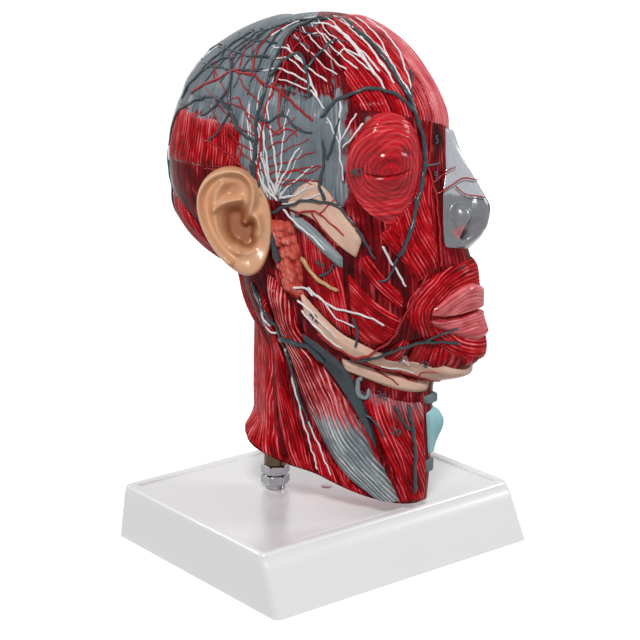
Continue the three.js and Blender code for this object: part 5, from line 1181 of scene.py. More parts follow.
# Vessels and nerves: round cords laid over the muscles, dark slate veins, bright red arteries,
# white nerves and the golden duct of the cheek gland. They are moulded with the head and painted.
CORD_STEP, CORD_SIDES, CORD_SEAT, LEAST_RADIUS = 0.9 * MM, 10, 0.35, 0.02 * MM
CORD_WANDER, WANDER_EASE, WANDER_WAVES, SWELL_WAVE = 0.35 * MM, 5 * MM, (3.1 * MM, 1.4 * MM), 2.3 * MM
BRUSH_WIDTH = 0.5 * MM
HEAD_TOP = 354.7 * MM


def over_relief(around, up):
    """Height of the pads under each place: the greatest of the cells near it, then smoothed
    along the path by a moving mean."""
    height = np.max([relief_map[cell] for cell in near_cells(around, up, 2)], axis=0)
    return np.convolve(np.pad(height, 3, mode="edge"), np.ones(7) / 7, mode="valid")


def cord(path, diameter, seed, taper, lift=0.0):
    """A round tube along a path of (around, up), its ends rounded. The radius falls towards the
    end as far as taper says; the middle wanders by a sum of two sines."""
    length = line_length(head_place(*curve_through(path, np.linspace(0, 1, 40)).T)[0])
    share = np.linspace(0, 1, max(int(length / CORD_STEP), 7))
    around, up = np.clip(curve_through(path, share), (0, 0), (180, 99)).T
    places, normals = head_place(around, up)
    tangents = np.gradient(places, axis=0)
    tangents /= np.linalg.norm(tangents, axis=-1, keepdims=True)
    sides = np.cross(normals, tangents)
    sides /= np.linalg.norm(sides, axis=-1, keepdims=True)
    ups = np.cross(tangents, sides)
    travel = share * length
    end = np.minimum(travel, length - travel)
    phase = np.random.default_rng(seed).uniform(0, 6.28, 3)
    wander = np.sin(travel / WANDER_WAVES[0] + phase[0]) + 0.6 * np.sin(travel / WANDER_WAVES[1] + phase[1])
    radius = diameter * MM / 2 * (1 - taper * share) * (1 + 0.09 * np.sin(travel / SWELL_WAVE + phase[2]))
    radius = np.maximum(radius * fall(end + LEAST_RADIUS, 1.1 * radius.max()), LEAST_RADIUS)
    rise = over_relief(around, up) + radius * CORD_SEAT + lift * MM
    aside = CORD_WANDER * fall(end, WANDER_EASE) * wander
    middle = places + normals * rise[:, None] + sides * aside[:, None]
    middle[:, 0] = np.maximum(middle[:, 0], radius)
    middle[:, 2] = np.minimum(middle[:, 2], HEAD_TOP - radius)
    angle = np.linspace(0, 2 * math.pi, CORD_SIDES, endpoint=False)[None, :, None]
    spokes = np.cos(angle) * sides[:, None] + np.sin(angle) * ups[:, None]
    points = middle[:, None] + radius[:, None, None] * spokes
    tips = np.stack([middle[0] - tangents[0] * radius[0], middle[-1] + tangents[-1] * radius[-1]])
    lengths = np.stack(np.broadcast_arrays(travel[:, None], angle[0, :, 0] * BRUSH_WIDTH), -1) / MM
    return points, tips, lengths


def lay_cords(name, node, material, cords):
    """One mesh of several cords; each is (path, diameter, taper) or (path, diameter, taper, lift)."""
    points, quads, fans, lengths, count = [], [], [], [], 0
    for number, (path, diameter, *rest) in enumerate(cords):
        rows, tips, spans = cord(path, diameter, len(name) + 7 * number, *rest)
        numbers = count + np.arange(rows.shape[0] * CORD_SIDES).reshape(rows.shape[:2])
        quads.append(count + grid_quads(rows.shape[0], CORD_SIDES, wrap_columns=True))
        count += numbers.size + 2
        for row, tip in ((numbers[0], count - 2), (numbers[-1], count - 1)):
            fans += np.stack([row, np.roll(row, -1), np.full(CORD_SIDES, tip)], -1).tolist()
        points += [rows.reshape(-1, 3), tips]
        lengths += [spans.reshape(-1, 2), spans[[0, -1], 0]]
    make_piece(name, to_part(np.concatenate(points)), np.concatenate(quads), material, "head",
               [node] if node else (), fans, np.concatenate(lengths), weld=True)


def cord_paint(name, dark, light):
    """Painted cord: a slow change of tone along it and brush marks across."""
    material, tree, shader = start_material(name, coat=0.3, specular=0.15)
    tone = mix_colours(tree, noise(tree, 260.0, 4.0, 0.6), dark, light)
    streak = noise(tree, 900.0, 3.0, 0.6)
    finish_paint(tree, shader, tone, vary(tree, streak, 0.2, 0.25, clamp=True), streak, 0.05 * MM)
    return material


CORD_PAINTS = {
    "vein_slate": cord_paint("slate_vein", (0.012, 0.02, 0.026), (0.06, 0.085, 0.1)),
    "artery_red": cord_paint("red_artery", (0.25, 0.002, 0.006), (0.5, 0.008, 0.014)),
    "nerve_white": cord_paint("white_nerve", (0.68, 0.65, 0.66), (0.9, 0.88, 0.89)),
    "duct_gold": cord_paint("golden_duct", (0.42, 0.22, 0.09), (0.7, 0.46, 0.22)),
}
lay_pad("broad_neck_vein", None, CORD_PAINTS["vein_slate"], "vein_slate", 3.2, 88,
        (80, 33, 67, 33.2, 55, 31.6, 46, 27.4, 40, 20, 36.5, 13.4),
        (78, 30.8, 67, 27.8, 56, 23, 49, 19.4, 43, 14.8, 38, 11.6), (6, 4, 6, 8), 0.15)
grey_loop = cord_paint("grey_loop_paint", (0.16, 0.19, 0.21), (0.3, 0.34, 0.37))
lay_cords("small_grey_loop", None, grey_loop,
          [(ring((42.5, 27.2), (3.0, 2.6), 280, 9), 3.4, 0.1)])
# Name, part of the model, paint, and a row for each cord: its diameter in millimetres and its
# taper, then its places, around and up in turn.
CORDS = (
    ("face_vein", "facial_vein", "vein_slate", (
        (2.8, 0, 32, 88, 27, 83, 24, 78, 22, 72, 19.5, 66.5, 20, 62.5, 23, 58.5, 28, 54.5, 33, 51.5),
        (2.6, 0.1, 21.5, 71, 27, 73.8, 34, 75.6, 43, 75.8, 52, 75, 59, 72.6),
        (2.0, 0.5, 20, 63, 16, 62.8, 10, 62.9),)),
    ("neck_vein", "jugular_vein", "vein_slate", (
        (2.7, 0.4, 100, 34.5, 95, 31, 92, 28, 91, 24, 90, 19, 88, 14.5),
        (3.4, 0, 92, 28.5, 85, 30.4, 77, 31, 70, 30.6, 64, 29.5),)),
    ("front_neck_vein", "anterior_jugular_vein", "vein_slate", (
        (2.8, 0, 20, 27, 19, 23, 17.5, 18, 17, 11, 17, 3), (2.2, 0, 27, 26, 24, 23, 18.5, 20),)),
    ("temple_vein", "temporal_vein", "vein_slate", (
        (2.4, 0.3, 86, 54, 80, 55.2, 73, 56.6, 66, 57.4, 58, 57.4, 51, 56.6, 46, 54.4),
        (2.2, 0.2, 57, 57.6, 59, 61, 57, 65, 58, 69),)),
    ("scalp_vein", "cranial_vein", "vein_slate", (
        (3.0, 0.4, 93, 60, 91, 66, 91, 73, 89, 78, 89, 83, 85, 88),
        (2.6, 0.4, 92, 68, 100, 70, 108, 73, 116, 74.5, 126, 74),
        (2.4, 0.3, 108, 73.5, 113, 78, 121, 81.5, 130, 81, 138, 78),)),
    ("temple_artery", "temporal_artery", "artery_red", (
        (1.9, 0.3, 86, 79, 80, 77.5, 73, 75.5, 66, 73.5, 62, 72), (1.6, 0.4, 80, 77.5, 79, 73, 77, 70),)),
    ("face_nerve", "facial_nerve", "nerve_white", (
        (1.7, 0.4, 81, 57.6, 83, 61, 85, 66, 87, 70.5), (1.7, 0.4, 81, 58, 79, 62, 81, 67, 83, 71.5),
        (1.7, 0.4, 81, 58, 76, 61.5, 72, 65, 68, 67.5),)),
    ("brow_nerve", "supraorbital_nerve", "nerve_white", (
        (1.7, 0.4, 33, 78, 36, 81.5, 40, 85.5, 46, 89, 55, 91.2, 68, 91.5),
        (1.4, 0.4, 36, 81.5, 44, 83.5, 49, 83),)),
    ("cheek_nerve", "buccal_nerve", "nerve_white", (
        (1.7, 0.3, 69, 43.4, 61, 42.8, 52, 43.2, 43, 44.2, 37, 44),)),
    ("cheek_gland_duct", "parotid_duct", "duct_gold", (
        (2.8, 0.2, 72, 47.6, 65, 46, 58, 45.4, 53, 45.6),)),
    ("small_veins", None, "vein_slate", (
        (3.0, 0, 108, 39, 104, 36.5, 100, 34.5), (1.8, 0.3, 88, 15, 86, 12, 83, 9),
        (1.8, 0.3, 44, 21, 38, 20, 33, 17),
        (2.2, 0.2, 50, 33.6, 43, 36.5, 36, 39.5, 30, 42, 22, 43, 16, 43.5, 10, 43.7),
        (1.8, 0.3, 22, 43, 18, 44.1, 14, 44.9, 11, 45.1), (2.0, 0.3, 33, 51.5, 35, 49.6, 39, 48.6),
        (2.6, 0, 34, 93, 33, 90.5, 32, 88), (1.6, 0, 14, 78, 19, 75, 22, 72),
        (2.0, 0.2, 46, 54.4, 43, 52.5, 40, 51), (1.8, 0.3, 56, 65, 52, 70, 50, 75),
        (1.9, 0.3, 112, 77, 118, 73, 126, 70.5), (2.2, 0.3, 138, 78, 145, 74.5, 150, 71),
        (2.2, 0.3, 85, 88, 78, 91, 66, 93, 52, 94), (2.4, 0.2, 89, 80, 80, 83, 72, 84, 66, 81, 64, 76),
        (2.0, 0.4, 66, 81, 58, 84, 50, 86, 42, 85), (2.0, 0.3, 91, 73, 84, 72, 77, 73.5, 70, 71, 62, 70),
        (1.6, 0.3, 77, 73.5, 76, 77, 70, 79.5), (2.2, 0.3, 121, 81.5, 118, 86, 110, 90, 96, 93),
        (2.0, 0.3, 130, 81, 140, 83, 152, 82, 164, 79), (1.8, 0.3, 108, 73, 112, 69, 118, 66.5),
        (2.0, 0.3, 126, 74, 136, 72, 146, 68, 152, 62), (1.8, 0.3, 152, 62, 156, 52, 158, 40),
        (3.2, 0, 90, 57, 92, 60, 93, 64), (1.8, 0.3, 100, 92, 84, 93, 60, 93, 40, 92),
        (2.0, 0.2, 62, 46.2, 57, 47.5, 53, 49.5), (2.0, 0.2, 48, 43, 46, 41, 47, 38.6),)),
    ("small_arteries", None, "artery_red", (
        (1.6, 0, 140, 73, 132, 75.5, 125, 77, 117, 79.5, 110, 80, 100, 80, 92, 79, 84, 78),
        (1.8, 0.2, 92, 56, 90, 62, 88, 68, 87, 74, 84, 78), (1.4, 0.4, 84, 78, 80, 82, 74, 86, 66, 88),
        (1.2, 0.4, 80, 82, 84, 86, 84, 90), (1.4, 0.4, 100, 80, 104, 84, 104, 89, 96, 93),
        (1.3, 0.4, 110, 80, 116, 84, 126, 86), (1.2, 0.4, 125, 77, 132, 79.5, 142, 80),
        (1.3, 0.4, 88, 68, 96, 72, 104, 75.5, 112, 74), (1.3, 0.4, 75, 62, 70, 63, 64, 62.6, 58, 64),
        (1.2, 0.4, 80, 60, 74, 60, 68, 61, 62, 60.4), (1.5, 0.3, 72, 54.8, 64, 55.8, 57, 54.8, 50, 53),
        (1.1, 0.4, 60, 55.4, 56, 56.6, 53, 58), (1.2, 0.4, 64, 55.8, 58, 53, 52, 51.6),
        (1.4, 0.4, 87, 72, 80, 70, 74, 70.8, 69, 69.4),
        (1.6, 0.3, 17, 50.5, 15, 54, 15.5, 58, 17, 62, 15, 67, 13, 73, 14, 80),
        (1.2, 0.3, 15.5, 58, 10, 58.6, 5, 59.6, 1, 59), (1.0, 0.3, 16.4, 60, 10, 60.8, 5, 61.8),
        (1.0, 0.3, 8, 58.8, 6, 57.4, 2, 56.6),
        (1.4, 0.4, 66, 36.2, 54, 35.8, 42, 36, 30, 35.9, 18, 36.2, 4, 36.4),
        (1.3, 0.4, 50, 35.8, 42, 34.6, 32, 33.6, 24, 31.8), (1.2, 0.4, 40, 34.4, 33, 35, 25, 34.4, 14, 34),
        (1.7, 0.2, 46, 36, 40, 39, 34, 43, 30, 46.5, 23, 50), (1.0, 0.4, 16, 36.4, 15, 38, 12, 39.6),
        (1.4, 0.4, 96, 62, 104, 64.5, 112, 66, 122, 66.5), (1.2, 0.4, 104, 64.5, 110, 61.5, 120, 61),)),
    ("small_nerves", None, "nerve_white", (
        (1.4, 0.4, 81, 56.5, 88, 60, 93, 65, 96, 71, 97, 75), (1.3, 0.4, 82, 57, 86, 63, 90, 70, 91, 75),
        (1.3, 0.4, 81, 58, 77, 64, 76, 70, 74, 74.5), (1.3, 0.4, 80, 57, 73, 60, 67, 62, 62, 64),
        (1.2, 0.4, 80, 57, 74, 58, 68, 58.6, 62, 61.5), (1.2, 0.4, 79, 56, 72, 57, 64, 57.8, 56, 59.4),
        (1.6, 0.3, 79, 55.4, 72, 53.6, 64, 52, 57, 50.6), (1.1, 0.4, 84, 72, 86, 76, 85, 80),
        (1.1, 0.4, 88, 70, 92, 74, 92, 79), (1.5, 0.3, 60, 76, 68, 82, 80, 85, 95, 86),
        (1.4, 0.3, 63, 78, 74, 80.5, 86, 81.5, 97, 81), (1.2, 0.3, 61, 77, 66, 80, 76, 83, 88, 83.5),
        (1.3, 0.3, 57, 74, 63, 77, 72, 78.6, 82, 79.6), (1.2, 0.4, 50, 85.5, 56, 88, 70, 87.5),
        (1.4, 0.3, 31, 75, 33, 79, 37, 83, 42, 87, 47, 89.5, 55, 91.5),
        (1.4, 0.3, 21, 73, 22, 77, 22.5, 81, 20, 86, 19, 91),
        (1.3, 0.3, 20, 74, 17, 78, 14, 82, 12, 86, 10, 90), (1.3, 0.4, 26, 76, 28, 81, 33, 86.5, 38, 91),
        (1.1, 0.4, 22, 80, 26, 85, 27, 91), (1.5, 0.3, 50, 75, 51, 68, 49.5, 61),
        (1.4, 0.3, 42, 70.5, 50, 67), (1.2, 0.3, 44, 72.4, 50.5, 68.4),
        (1.2, 0.3, 56, 72.6, 53, 70, 51, 67.6), (1.6, 0, 77, 42, 72, 42.8, 66, 42.5),
        (1.2, 0.3, 61, 42.8, 55, 41.6, 47, 41.8), (1.6, 0.3, 76, 40, 68, 39.6, 62, 39, 55, 38),
        (1.5, 0.3, 74, 38.6, 67, 37.6, 60, 36.8, 53, 36.6), (1.1, 0.3, 35, 36.6, 26, 37, 18, 36.9),
        (1.5, 0.3, 91, 27, 91.5, 20, 89, 12, 86, 6, 83, 1.8), (1.4, 0.3, 86, 12, 80, 8, 75, 5, 71, 2),
        (1.5, 0.3, 98, 31, 103, 33, 108, 37), (1.3, 0.3, 95, 29.5, 101, 30, 107, 33),
        (1.2, 0.4, 103, 88, 96, 91, 80, 93.5, 62, 94.5), (1.3, 0.3, 150, 60, 154, 68, 156, 76, 150, 82),
        (1.3, 0.3, 158, 56, 161, 66, 162, 75, 158, 83), (1.8, 0.3, 38, 52.6, 34, 50.5, 30, 48.6),
        (1.8, 0.2, 27, 39.6, 22, 38.6),)),
)


def read_rows(rows):
    """Path, diameter and taper of each row of the table."""
    return [(row[2:], *row[:2]) for row in rows]

for name, node, slot, rows in CORDS:
    lay_cords(name, node, CORD_PAINTS[slot], read_rows(rows))

# Fine cords side by side over the crown and the temple: the line of their starts and of their
# ends, how many, how thick in millimetres, and a seed; then single cords as in the table above.
STRAND_BEND, STRAND_TAPER, STRAND_LIFT = 0.6, 0.4, 0.1
STRANDS = (
    ("crown_nerves", "nerve_white", (
        ((58, 78, 46, 80, 34, 79, 24, 77), (84, 85, 76, 90, 58, 93, 30, 94), 7, 1.2, 5),
        ((84, 56, 88, 58), (84, 74, 98, 72), 3, 1.0, 6),
        ((80, 57, 80, 58), (60, 58, 68, 69), 3, 1.0, 7)), ()),
    ("crown_arteries", "artery_red", (
        ((85, 60, 88, 70, 88, 79), (112, 69, 130, 77, 116, 89), 6, 1.15, 8),
        ((82, 60, 84, 64, 84, 70), (56, 60, 62, 68, 72, 74), 6, 1.1, 9),
        ((60, 80, 44, 80, 30, 80), (84, 90, 60, 92, 30, 91), 4, 1.0, 10)), ()),
    ("crown_veins", "vein_slate", (
        ((94, 90, 112, 90, 134, 88), (94, 76, 120, 77, 150, 74), 5, 1.6, 11),
        ((92, 88, 94, 80), (150, 88, 160, 76), 3, 1.6, 12),
        ((66, 84, 56, 88), (86, 88, 80, 90), 2, 1.5, 13)), ((4.2, 0.2, 84, 45, 87, 50, 89, 55, 91, 60),)),
)


def strands(starts, ends, count, diameter, seed):
    """Cords side by side from one line to another: straight paths whose places are shifted at
    random, most in the middle."""
    rng = np.random.default_rng(seed)
    shares = (np.arange(count) + 0.5) / count
    travel = np.linspace(0, 1, 5)[:, None]
    ease = np.sin(math.pi * (0.12 + 0.88 * travel))
    cords = []
    for first, last in zip(curve_through(starts, shares), curve_through(ends, shares)):
        path = first + (last - first) * travel + rng.normal(0, STRAND_BEND, (5, 2)) * (1, 0.4) * ease
        cords.append((path, diameter * rng.uniform(0.75, 1.2), STRAND_TAPER, STRAND_LIFT))
    return cords


for name, slot, bundles, rows in STRANDS:
    cords = [fine for bundle in bundles for fine in strands(*bundle)] + read_rows(rows)
    lay_cords(name, None, CORD_PAINTS[slot], cords)


# Ear: a shell of skin colour on a short root. Its outer rim curls in front, a second ridge with
# two upper branches lies inside it, and between them is the deep bowl before the small flap.
# Heights and widths of the shell are in millimetres.
EAR_HALF_HEIGHT, EAR_HALF_WIDTH, EAR_LOBE_SHARE = 35, 22, 0.22
EAR_PLACE = np.array([79.99, -6, 232]) * MM
EAR_LEAN_BACK, EAR_FLARE_OUT = math.radians(18), math.radians(28)
EAR_SPOKES, EAR_RINGS, EAR_BACK_RINGS, MIDDLE_SHARE = 168, 78, 26, 0.004
EAR_DOME, RIM_FOOT, RIM_SHARE, RIM_BAND, REAR_RIM_SHARE = 7, 1.2, 0.93, 0.07, 0.97
EAR_BASE_LEVEL, EAR_BOWL_FLOOR, FLOOR_BLEND = 4.2, -4.6, 1.2
SHADE_LEVEL, SHADE_DEPTH = 5.0, 7
ROOT_RADIUS, ROOT_LENGTH, ROOT_SINK, ROOT_SPOKES = 12.5 * MM, 16 * MM, 9 * MM, 40
# Ridges: a line back and up from the ear's middle, its height and half width.
EAR_RIDGES = (
    ((-5, -2, -9, 3, -14, 11, -15.5, 20, -11, 28.5, -1, 31.6, 10, 29.6, 18.6, 21, 20.6, 9,
      19, -4, 15.5, -15, 11, -23), 6.6, 2.7),
    ((2, 25, 8, 19, 11.5, 9, 12, -2, 9, -12, 4, -18), 4.6, 3.2),
    ((11, 11, 4, 13.5, -6, 13), 3.2, 2.2), ((-12.5, -1, -12, -6, -10, -10), 5.6, 3.4),
    ((4, -17, 0, -19.5, -3, -19.5), 3.4, 3.0), ((-7, -28, 0, -30, 7, -25.5), 2.6, 6.0),
)
# Hollows: the middle back and up, half sizes, and the depth.
EAR_HOLLOWS = (((0.5, -5), (9.5, 12.5), 9.5), ((-3, -14.5), (4, 4), 5.0), ((-8, -5), (4, 7), 4.5),
               ((-1, 20), (6.5, 4), 2.6), ((0, 6.5), (9, 4.5), 3.0))


def ear_height(back, rise):
    """Height of the front: a base level, a bell across the distance to each ridge's line, less
    a bell for each hollow; a smooth greatest value keeps it over the floor of the bowl."""
    height = np.full(back.shape, EAR_BASE_LEVEL)
    for line, size, width in EAR_RIDGES:
        path = curve_through(line, np.linspace(0, 1, 60))
        distance = np.hypot(back[..., None] - path[:, 0], rise[..., None] - path[:, 1]).min(axis=-1)
        height += size * np.exp(-(distance / width) ** 2)
    for (x, z), (wide, tall), depth in EAR_HOLLOWS:
        height -= depth * np.exp(-(((back - x) / wide) ** 2 + ((rise - z) / tall) ** 2) ** 1.6)
    over = height - EAR_BOWL_FLOOR
    return EAR_BOWL_FLOOR + (over + np.sqrt(over ** 2 + FLOOR_BLEND)) / 2


def turn_pair(first, second, angle):
    """Two coordinates turned by an angle in their plane."""
    cos, sin = math.cos(angle), math.sin(angle)
    return first * cos - second * sin, first * sin + second * cos


def ear_points():
    """The front height field, a rounded edge and the domed back, ring by ring from the middle of
    the front to the middle of the back. The outline is an upright oval that is wider above."""
    angle = np.linspace(0, 2 * math.pi, EAR_SPOKES, endpoint=False)[None, :]
    front = np.linspace(MIDDLE_SHARE, 1, EAR_RINGS)[:, None]
    rear = np.linspace(1, MIDDLE_SHARE, EAR_BACK_RINGS)[1:, None]
    share = np.concatenate([front, rear])
    back = EAR_HALF_WIDTH * share * np.sin(angle) * (1 + EAR_LOBE_SHARE * np.cos(angle))
    rise = EAR_HALF_HEIGHT * share * np.cos(angle)
    edge = np.sqrt(np.clip(1 - ((front - RIM_SHARE) / RIM_BAND).clip(0) ** 2, 0, 1))
    height = RIM_FOOT + (ear_height(back[:EAR_RINGS], rise[:EAR_RINGS]) - RIM_FOOT) * edge
    rear_height = RIM_FOOT * (rear > REAR_RIM_SHARE) - EAR_DOME * (1 - rear) ** 0.8 + 0 * angle
    # Painted shade: the deeper the front lies below the shade level, the darker its skin paint, in the bowl
    # and in the grooves.
    hollow = np.concatenate([np.clip((SHADE_LEVEL - height) / SHADE_DEPTH, 0, 1), 0 * rear_height])
    x, y = turn_pair(-np.concatenate([height, rear_height]), back, EAR_FLARE_OUT)
    y, z = turn_pair(y, rise, -EAR_LEAN_BACK)
    return EAR_PLACE + np.stack([-x, y, z], -1) * MM, hollow


skin_beige, tree, shader = start_material("ear_skin_paint", coat=0.25, coat_roughness=0.15, specular=0.4)
for key, value in (("Weight", 0.12), ("Radius", (0.006, 0.003, 0.0015)), ("Scale", 0.4)):
    shader.inputs["Subsurface " + key].default_value = value
tone = mix_colours(tree, noise(tree, 55.0, 4.0, 0.6), (0.63, 0.32, 0.17), (0.76, 0.43, 0.25))
# Painted shade: the hollow mark darkens the skin tone to brown in the ear's bowl and grooves.
tone = mix_colours(tree, maths(tree, "MULTIPLY", mark_value(tree, "hollow"), 0.92), tone, (0.3, 0.09, 0.03))
grain = noise(tree, 1500.0)
finish_paint(tree, shader, tone, vary(tree, grain, 0.2, 0.35), grain, 0.03 * MM)

ear, ear_painted_shade = ear_points()
make_piece("ear_shell", to_part(ear), grid_quads(len(ear), EAR_SPOKES, wrap_columns=True), skin_beige, "head",
           ["ear"], end_caps(len(ear), EAR_SPOKES), marks={"hollow": ear_painted_shade}, weld=True)
root_angle = np.linspace(0, 2 * math.pi, ROOT_SPOKES, endpoint=False)
root_reach = np.array([0, ROOT_RADIUS, ROOT_RADIUS, 0])[:, None]
root_side = np.array([0, 0, ROOT_LENGTH, ROOT_LENGTH])[:, None] + 0 * root_angle
root = EAR_PLACE + np.stack([-ROOT_SINK - root_side, root_reach * np.cos(root_angle),
                             root_reach * np.sin(root_angle)], -1)
make_piece("ear_root", to_part(root), grid_quads(4, ROOT_SPOKES, wrap_columns=True), skin_beige, "head",
           marks={"hollow": np.zeros(root.shape[:2])}, sharp=40, weld=True)


# Median section: the flat side of the half head, recessed inside the shell. A bone band runs
# round the brain, flesh fills the face and the neck, and dark hollows show the air ways.
SECTION_DEPTH, PANEL_THICKNESS, PANEL_INSET = 4.3 * MM, 3.0 * MM, SHELL_WALL + 0.35 * MM
PANEL_GRID, NECK_CUT = (210, 150), 0.6
BONE_BAND, BONE_RISE, AIR_SINK = (1.0 * MM, 7.0 * MM), 0.7 * MM, 1.8 * MM
# The skull's underside: its level as a share of the rise, its slope to both sides of a middle,
# and how soft it ends.
SKULL_LEVEL, SKULL_SLOPE, SKULL_MIDDLE, SKULL_EASE = 0.66, 0.15, -0.05, 0.04
# Hollows of the air ways: middle and half sizes as shares of the head's length and rise.
AIR_WAYS = (((-0.43, 0.745), (0.035, 0.03)), ((-0.2, 0.655), (0.05, 0.028)), ((-0.245, 0.47), (0.028, 0.12)),
            ((-0.33, 0.25), (0.02, 0.09)))


def median_edge(around, up):
    """Back and rise of the head's outline in the median plane, moved in by the panel's inset."""
    places, normals = head_place(np.full(up.shape, around), up)
    return (places - normals * PANEL_INSET)[:, 1:]


def panel_sheet():
    """A grid between the front and the rear outline inside the shell, its face at the section's
    depth with the air ways sunk as bells, its back a plate's thickness deeper."""
    up = np.linspace(NECK_CUT, CROWN, PANEL_GRID[0])
    front, rear = median_edge(0.0, up), median_edge(180.0, up)
    share = np.linspace(0, 1, PANEL_GRID[1])
    flat = front[:, None] * (1 - share[:, None]) + rear[:, None] * share[:, None]
    from_edge = np.minimum(share, 1 - share) * np.linalg.norm(front - rear, axis=-1)[:, None]
    edge = np.minimum(from_edge, np.linalg.norm(flat - front[-1], axis=-1) * 0.6 + 4 * MM)
    back, rise = np.moveaxis((flat - (0, NECK_TIP_HEIGHT)) / (HEAD_LENGTH, HEAD_RISE), -1, 0)
    hollow = np.zeros(edge.shape)
    for (y, z), (long, tall) in AIR_WAYS:
        hollow = np.maximum(hollow, np.exp(-(((back - y) / long) ** 2 + ((rise - z) / tall) ** 2) ** 2))
    skull = smooth_step((rise - SKULL_LEVEL - SKULL_SLOPE * np.abs(back - SKULL_MIDDLE)) / SKULL_EASE)
    bone = skull * smooth_step((edge - BONE_BAND[0]) / MM) * smooth_step((BONE_BAND[1] - edge) / MM)
    side = SECTION_DEPTH + AIR_SINK * hollow - BONE_RISE * bone * smooth_step(edge / (2 * MM))
    face = np.concatenate([side[..., None], flat], -1)
    rear_face = np.concatenate([np.full(side.shape + (1,), SECTION_DEPTH + PANEL_THICKNESS), flat], -1)
    return face, rear_face, flat[..., ::-1] / MM, {"hollow": hollow, "bone": bone}


section_flesh, tree, shader = start_material("section_flesh", coat=0.15, coat_roughness=0.15, specular=0.2)
flesh = fibre_colours(tree, ((0.3, 0.02, 0.02), (0.56, 0.13, 0.1), (0.8, 0.42, 0.34)), 0.3, 0.3)
marrow = mix_colours(tree, noise(tree, 700.0), (0.62, 0.4, 0.22), (0.84, 0.68, 0.48))
tone = mix_colours(tree, mark_value(tree, "bone"), flesh["Colour"], marrow)
tone = mix_colours(tree, mark_value(tree, "hollow"), tone, (0.1, 0.008, 0.01))
finish_paint(tree, shader, tone, flesh["Roughness"], flesh["Height"], 0.12 * MM)
make_sheet("median_section", *panel_sheet(), section_flesh, "section_flesh", ["median_panel"], sharp=50,
           weld=True)


# Organs of the section: the cut brain, its stem and little brain, the nose's side wall, palate,
# tongue, spine and wind pipe. Each is a flat body between two edge lines, proud of the panel.
ORGAN_FOOT, ORGAN_HEIGHT, LEAST_HEIGHT, ORGAN_SPACING = 4.0 * MM, 5.2 * MM, 0.3 * MM, 0.8 * MM


def on_panel(shares):
    """Back and rise of places given in shares of the head's length back and of its rise up."""
    return np.reshape(shares, (-1, 2)) * (HEAD_LENGTH, HEAD_RISE) + (0, NECK_TIP_HEIGHT)


def lay_organ(name, node, material, slot, first, second, round_width=2.2, fibres=0.0, seed=1, shape=None,
              marks=None):
    """One organ between two lines of shares. It stands on the panel with rounded borders, and
    shape adds a height of its own."""
    first, second = on_panel(first), on_panel(second)
    edges = [curve_through(line, np.linspace(0, 1, 60)) for line in (first, second)]
    length = max(line_length(edge) for edge in edges)
    width = np.linalg.norm(edges[0] - edges[1], axis=-1).max()
    rows, columns = int(length / ORGAN_SPACING) + 4, int(width / ORGAN_SPACING) + 6
    flat, a, b, run, turn = between_lines(first, second, rows, columns)
    local = np.linalg.norm(a - b, axis=-1)[:, None]
    along, across = run * length, turn * local
    near = np.minimum(np.minimum(across, local - across), np.minimum(along, length - along))
    ridges, crest = fibre_relief(along, across, length, seed)
    height = ORGAN_HEIGHT * fall(near + 0.15 * MM, round_width * MM) ** 0.6 + ridges * fibres
    if shape is not None:
        height = height + shape(flat, run, near)
    face = np.concatenate([(ORGAN_FOOT - np.maximum(height, LEAST_HEIGHT))[..., None], flat], -1)
    foot = np.concatenate([np.full(near.shape + (1,), ORGAN_FOOT), flat], -1)
    values = {"crest": crest} | (marks(flat) if marks else {})
    make_sheet(name, face, foot, np.stack([along, across], -1) / MM, values, material, slot, [node])


GYRUS_WAVE, GYRUS_DEPTH, WAVE_COUNT, FOLD_SEED = 12 * MM, 2.6 * MM, 26, 5
ARCH_LINE = (-0.22, 0.79, -0.19, 0.822, -0.08, 0.836, 0.04, 0.818, 0.095, 0.785)
ARCH_TROUGH, ARCH_REACH = 3.2 * MM, 6 * MM
LEAF_ROOT, LEAF_DEPTH, LEAF_GRAIN_DEPTH = (0.07, 0.645), 0.9 * MM, 0.5 * MM
BRANCH_REACH = 34 * MM


def folds(flat):
    """A winding pattern: a sum of plane waves of one length in scattered directions."""
    value = np.zeros(flat.shape[:2])
    for angle, phase in np.random.default_rng(FOLD_SEED).uniform(0, 2 * math.pi, (WAVE_COUNT, 2)):
        travel = flat[..., 0] * math.cos(angle) + flat[..., 1] * math.sin(angle)
        value += np.sin(2 * math.pi / GYRUS_WAVE * travel + phase)
    return value / math.sqrt(WAVE_COUNT / 2)


def brain_folds(flat, run, near):
    """Grooves where the winding pattern crosses zero, and a trough round the arched body."""
    groove = np.exp(-(folds(flat) / 0.2) ** 2)
    arch = curve_through(on_panel(ARCH_LINE), np.linspace(0, 1, 50))
    distance = np.linalg.norm(flat[..., None, :] - arch, axis=-1).min(axis=-1)
    return -GYRUS_DEPTH * groove * fall(near, 3 * MM) - ARCH_TROUGH * np.exp(-(distance / ARCH_REACH) ** 4)


def brain_marks(flat):
    """Darker grooves between the folds."""
    return {"groove": np.exp(-(folds(flat) / 0.26) ** 2)}


def from_root(flat):
    """Angle and distance of places from the root of the little brain."""
    offset = flat - on_panel(LEAF_ROOT)
    return np.arctan2(offset[..., 1], offset[..., 0]), np.linalg.norm(offset, axis=-1)


def leaf_folds(flat, run, near):
    """Fine leaves of the little brain: even waves across a line from its root."""
    angle, distance = from_root(flat)
    leaf = np.abs(np.sin(angle * 11 + np.sin(distance / (3 * MM)))) ** 6
    grain = np.sin(distance / (0.8 * MM)) ** 2 * smooth_step(distance / (9 * MM))
    return -LEAF_DEPTH * leaf - LEAF_GRAIN_DEPTH * grain


def tree_marks(flat):
    """Light branches of the little brain between its leaves."""
    angle, distance = from_root(flat)
    branch = np.abs(np.cos(angle * 5.5 + 0.4 * np.sin(distance / (4 * MM)))) ** 10
    return {"white": branch * smooth_step((BRANCH_REACH - distance) / (10 * MM)) * 0.9}


